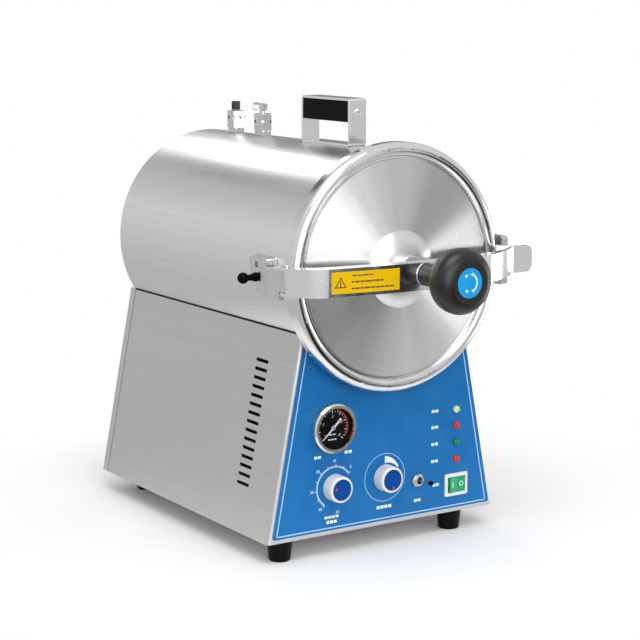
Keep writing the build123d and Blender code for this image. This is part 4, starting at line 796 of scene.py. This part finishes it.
drawing += words(-80.0, -1.6, (3, 6, 5, 7, 3, 6, 4), 1.9)
drawing += words(-73.0, -9.2, (3, 6, 4, 7, 5, 6, 4, 6, 5), 1.9)
raised("arm_label_print", drawing, arm, print_dark, "arm", height=0.18 * MM)

# Line and ring on the two halves of the power switch.
rocker = from_axis(middle("power_switch_rocker"))
rocker_line = bar(rocker[0] - 7.5, rocker[1], 1.1, 7.5)
rocker_ring = ring(rocker[0] + 7.0, rocker[1], 2.2, 3.1, steps=24)
raised(
    "rocker_marks", [rocker_line] + rocker_ring, on_node("power_switch_rocker"), print_white,
    "rocker")

# ---------------------------------------------------------------- studio


def staged(name, corners, finish):
    """Flat face of the studio, which is no part of the object."""
    mesh = bpy.data.meshes.new(name)
    mesh.from_pydata(corners, [], [tuple(range(len(corners)))])
    mesh.materials.append(finish)
    made = bpy.data.objects.new(name, mesh)
    bpy.context.collection.objects.link(made)


# Round floor that fades out towards its edge, so that the ground around it stays white.
FLOOR_R, FLOOR_SIDES = 0.6, 96
FADE_FROM, FADE_TO = 0.36, FLOOR_R - 0.03
floor_paint = moulded("floor_paint", (0.93, 0.93, 0.93), (0.91, 0.91, 0.91), 0.6, 40, 0.02 * MM)
floor_tree = floor_paint.node_tree
from_middle = vector_maths(floor_tree, "LENGTH", object_point(floor_tree))
fade = ranged(floor_tree, from_middle, 0.0, 1.0, FADE_FROM, FADE_TO)
clear = add(floor_tree, "ShaderNodeBsdfTransparent")
faded = add(floor_tree, "ShaderNodeMixShader")
floor_tree.links.new(fade, faded.inputs[0])
floor_tree.links.new(floor_tree.nodes["Principled BSDF"].outputs[0], faded.inputs[1])
floor_tree.links.new(clear.outputs[0], faded.inputs[2])
floor_tree.links.new(faded.outputs[0], floor_tree.nodes["Material Output"].inputs["Surface"])
turns = [2 * math.pi * step / FLOOR_SIDES for step in range(FLOOR_SIDES)]
staged("floor", [(FLOOR_R * math.cos(a), FLOOR_R * math.sin(a), 0) for a in turns], floor_paint)

# Grey room that reflections see, darker below than above, with dark cards in it. The change
# lies between two heights of the direction looked in, from -1 straight down to 1 straight up.
ROOM_BELOW, ROOM_ABOVE = (0.54, 0.54, 0.55), (0.76, 0.76, 0.76)
BELOW_TO, ABOVE_FROM = -0.35, 0.30
world = bpy.data.worlds.new("studio")
world.use_nodes = True
sky = world.node_tree
toward = add(sky, "ShaderNodeTexCoord").outputs["Generated"]
split = add(sky, "ShaderNodeSeparateXYZ")
sky.links.new(toward, split.inputs[0])
rise = ranged(sky, split.outputs["Z"], 0.0, 1.0, BELOW_TO, ABOVE_FROM)
room = mixed(sky, rise, ROOM_BELOW, ROOM_ABOVE)


def direction(azimuth, elevation):
    """Unit vector: azimuth from the front towards the right and elevation, in degrees."""
    turned, raised_by = math.radians(azimuth), math.radians(elevation)
    return Vector((
        math.cos(raised_by) * math.sin(turned),
        -math.cos(raised_by) * math.cos(turned),
        math.sin(raised_by),
    ))


# Dark cards: azimuth, elevation, the angle where dimming starts, the angle inside which it is
# full, all in degrees, and the brightness that is left.
CARDS = (
    (19, -22, 22, 12, 0.0),
    (45, 3, 8, 4, 0.04),
    (34.5, 12, 4, 2, 0.0),
    (-160, 36, 24, 10, 0.50),
    (-172, 36, 9, 4, 0.05),
    (146, 14, 22, 12, 0.25),
)
for azimuth, elevation, wide, narrow, grey in CARDS:
    aim = vector_maths(sky, "DOT_PRODUCT", toward, direction(azimuth, elevation))
    near = ranged(
        sky, aim, 0.0, 1.0, math.cos(math.radians(wide)), math.cos(math.radians(narrow)))
    room = mixed(sky, near, room, (grey, grey, grey))

# The camera itself sees white.
seen = add(sky, "ShaderNodeLightPath").outputs["Is Camera Ray"]
shown = mixed(sky, seen, room, (1.0, 1.0, 1.0))
sky.links.new(shown, sky.nodes["Background"].inputs["Color"])
bpy.context.scene.world = world
bpy.context.scene.view_settings.view_transform = "Standard"

CENTRE = Vector((0, 0, AXIS_Z))


def softbox(name, azimuth, elevation, distance, target, width, height, radiance):
    """Soft rectangular light of an even brightness, placed about CENTRE, that looks at target."""
    place = CENTRE + direction(azimuth, elevation) * distance
    lamp = bpy.data.lights.new(name, "AREA")
    lamp.shape, lamp.size, lamp.size_y = "RECTANGLE", width, height
    lamp.energy = radiance * math.pi * width * height
    made = bpy.data.objects.new(name, lamp)
    made.location = place
    made.rotation_euler = (target - place).to_track_quat("-Z", "Y").to_euler()
    made.visible_camera = False
    bpy.context.collection.objects.link(made)


softbox("front_left", -14, 12, 2.6, CENTRE, 2.4, 1.4, 2.4)
softbox("front_right", 74, -10, 2.4, CENTRE, 1.4, 1.3, 2.2)
softbox("back_strip", 171, 33, 2.4, CENTRE, 0.6, 0.4, 3.0)
softbox("overhead", -30, 60, 2.4, Vector((0, -0.1, 0.2)), 1.8, 1.6, 3.2)

# Camera: its place in metres, the direction it looks back along, and its lens.
CAMERA_PLACE = (-1.259, -1.906, 0.6564)
CAMERA_AZIMUTH, CAMERA_ELEVATION = math.degrees(-0.5787), math.degrees(0.1723)
LENS_LENGTH, SENSOR_WIDTH = 102.3, 36.0
camera_data = bpy.data.cameras.new("camera")
camera_data.lens, camera_data.sensor_width = LENS_LENGTH, SENSOR_WIDTH
camera_data.clip_start, camera_data.clip_end = 0.1, 50.0
camera = bpy.data.objects.new("camera", camera_data)
camera.location = CAMERA_PLACE
back = direction(CAMERA_AZIMUTH, CAMERA_ELEVATION)
camera.rotation_euler = (-back).to_track_quat("-Z", "Y").to_euler()
bpy.context.collection.objects.link(camera)
bpy.context.scene.camera = camera
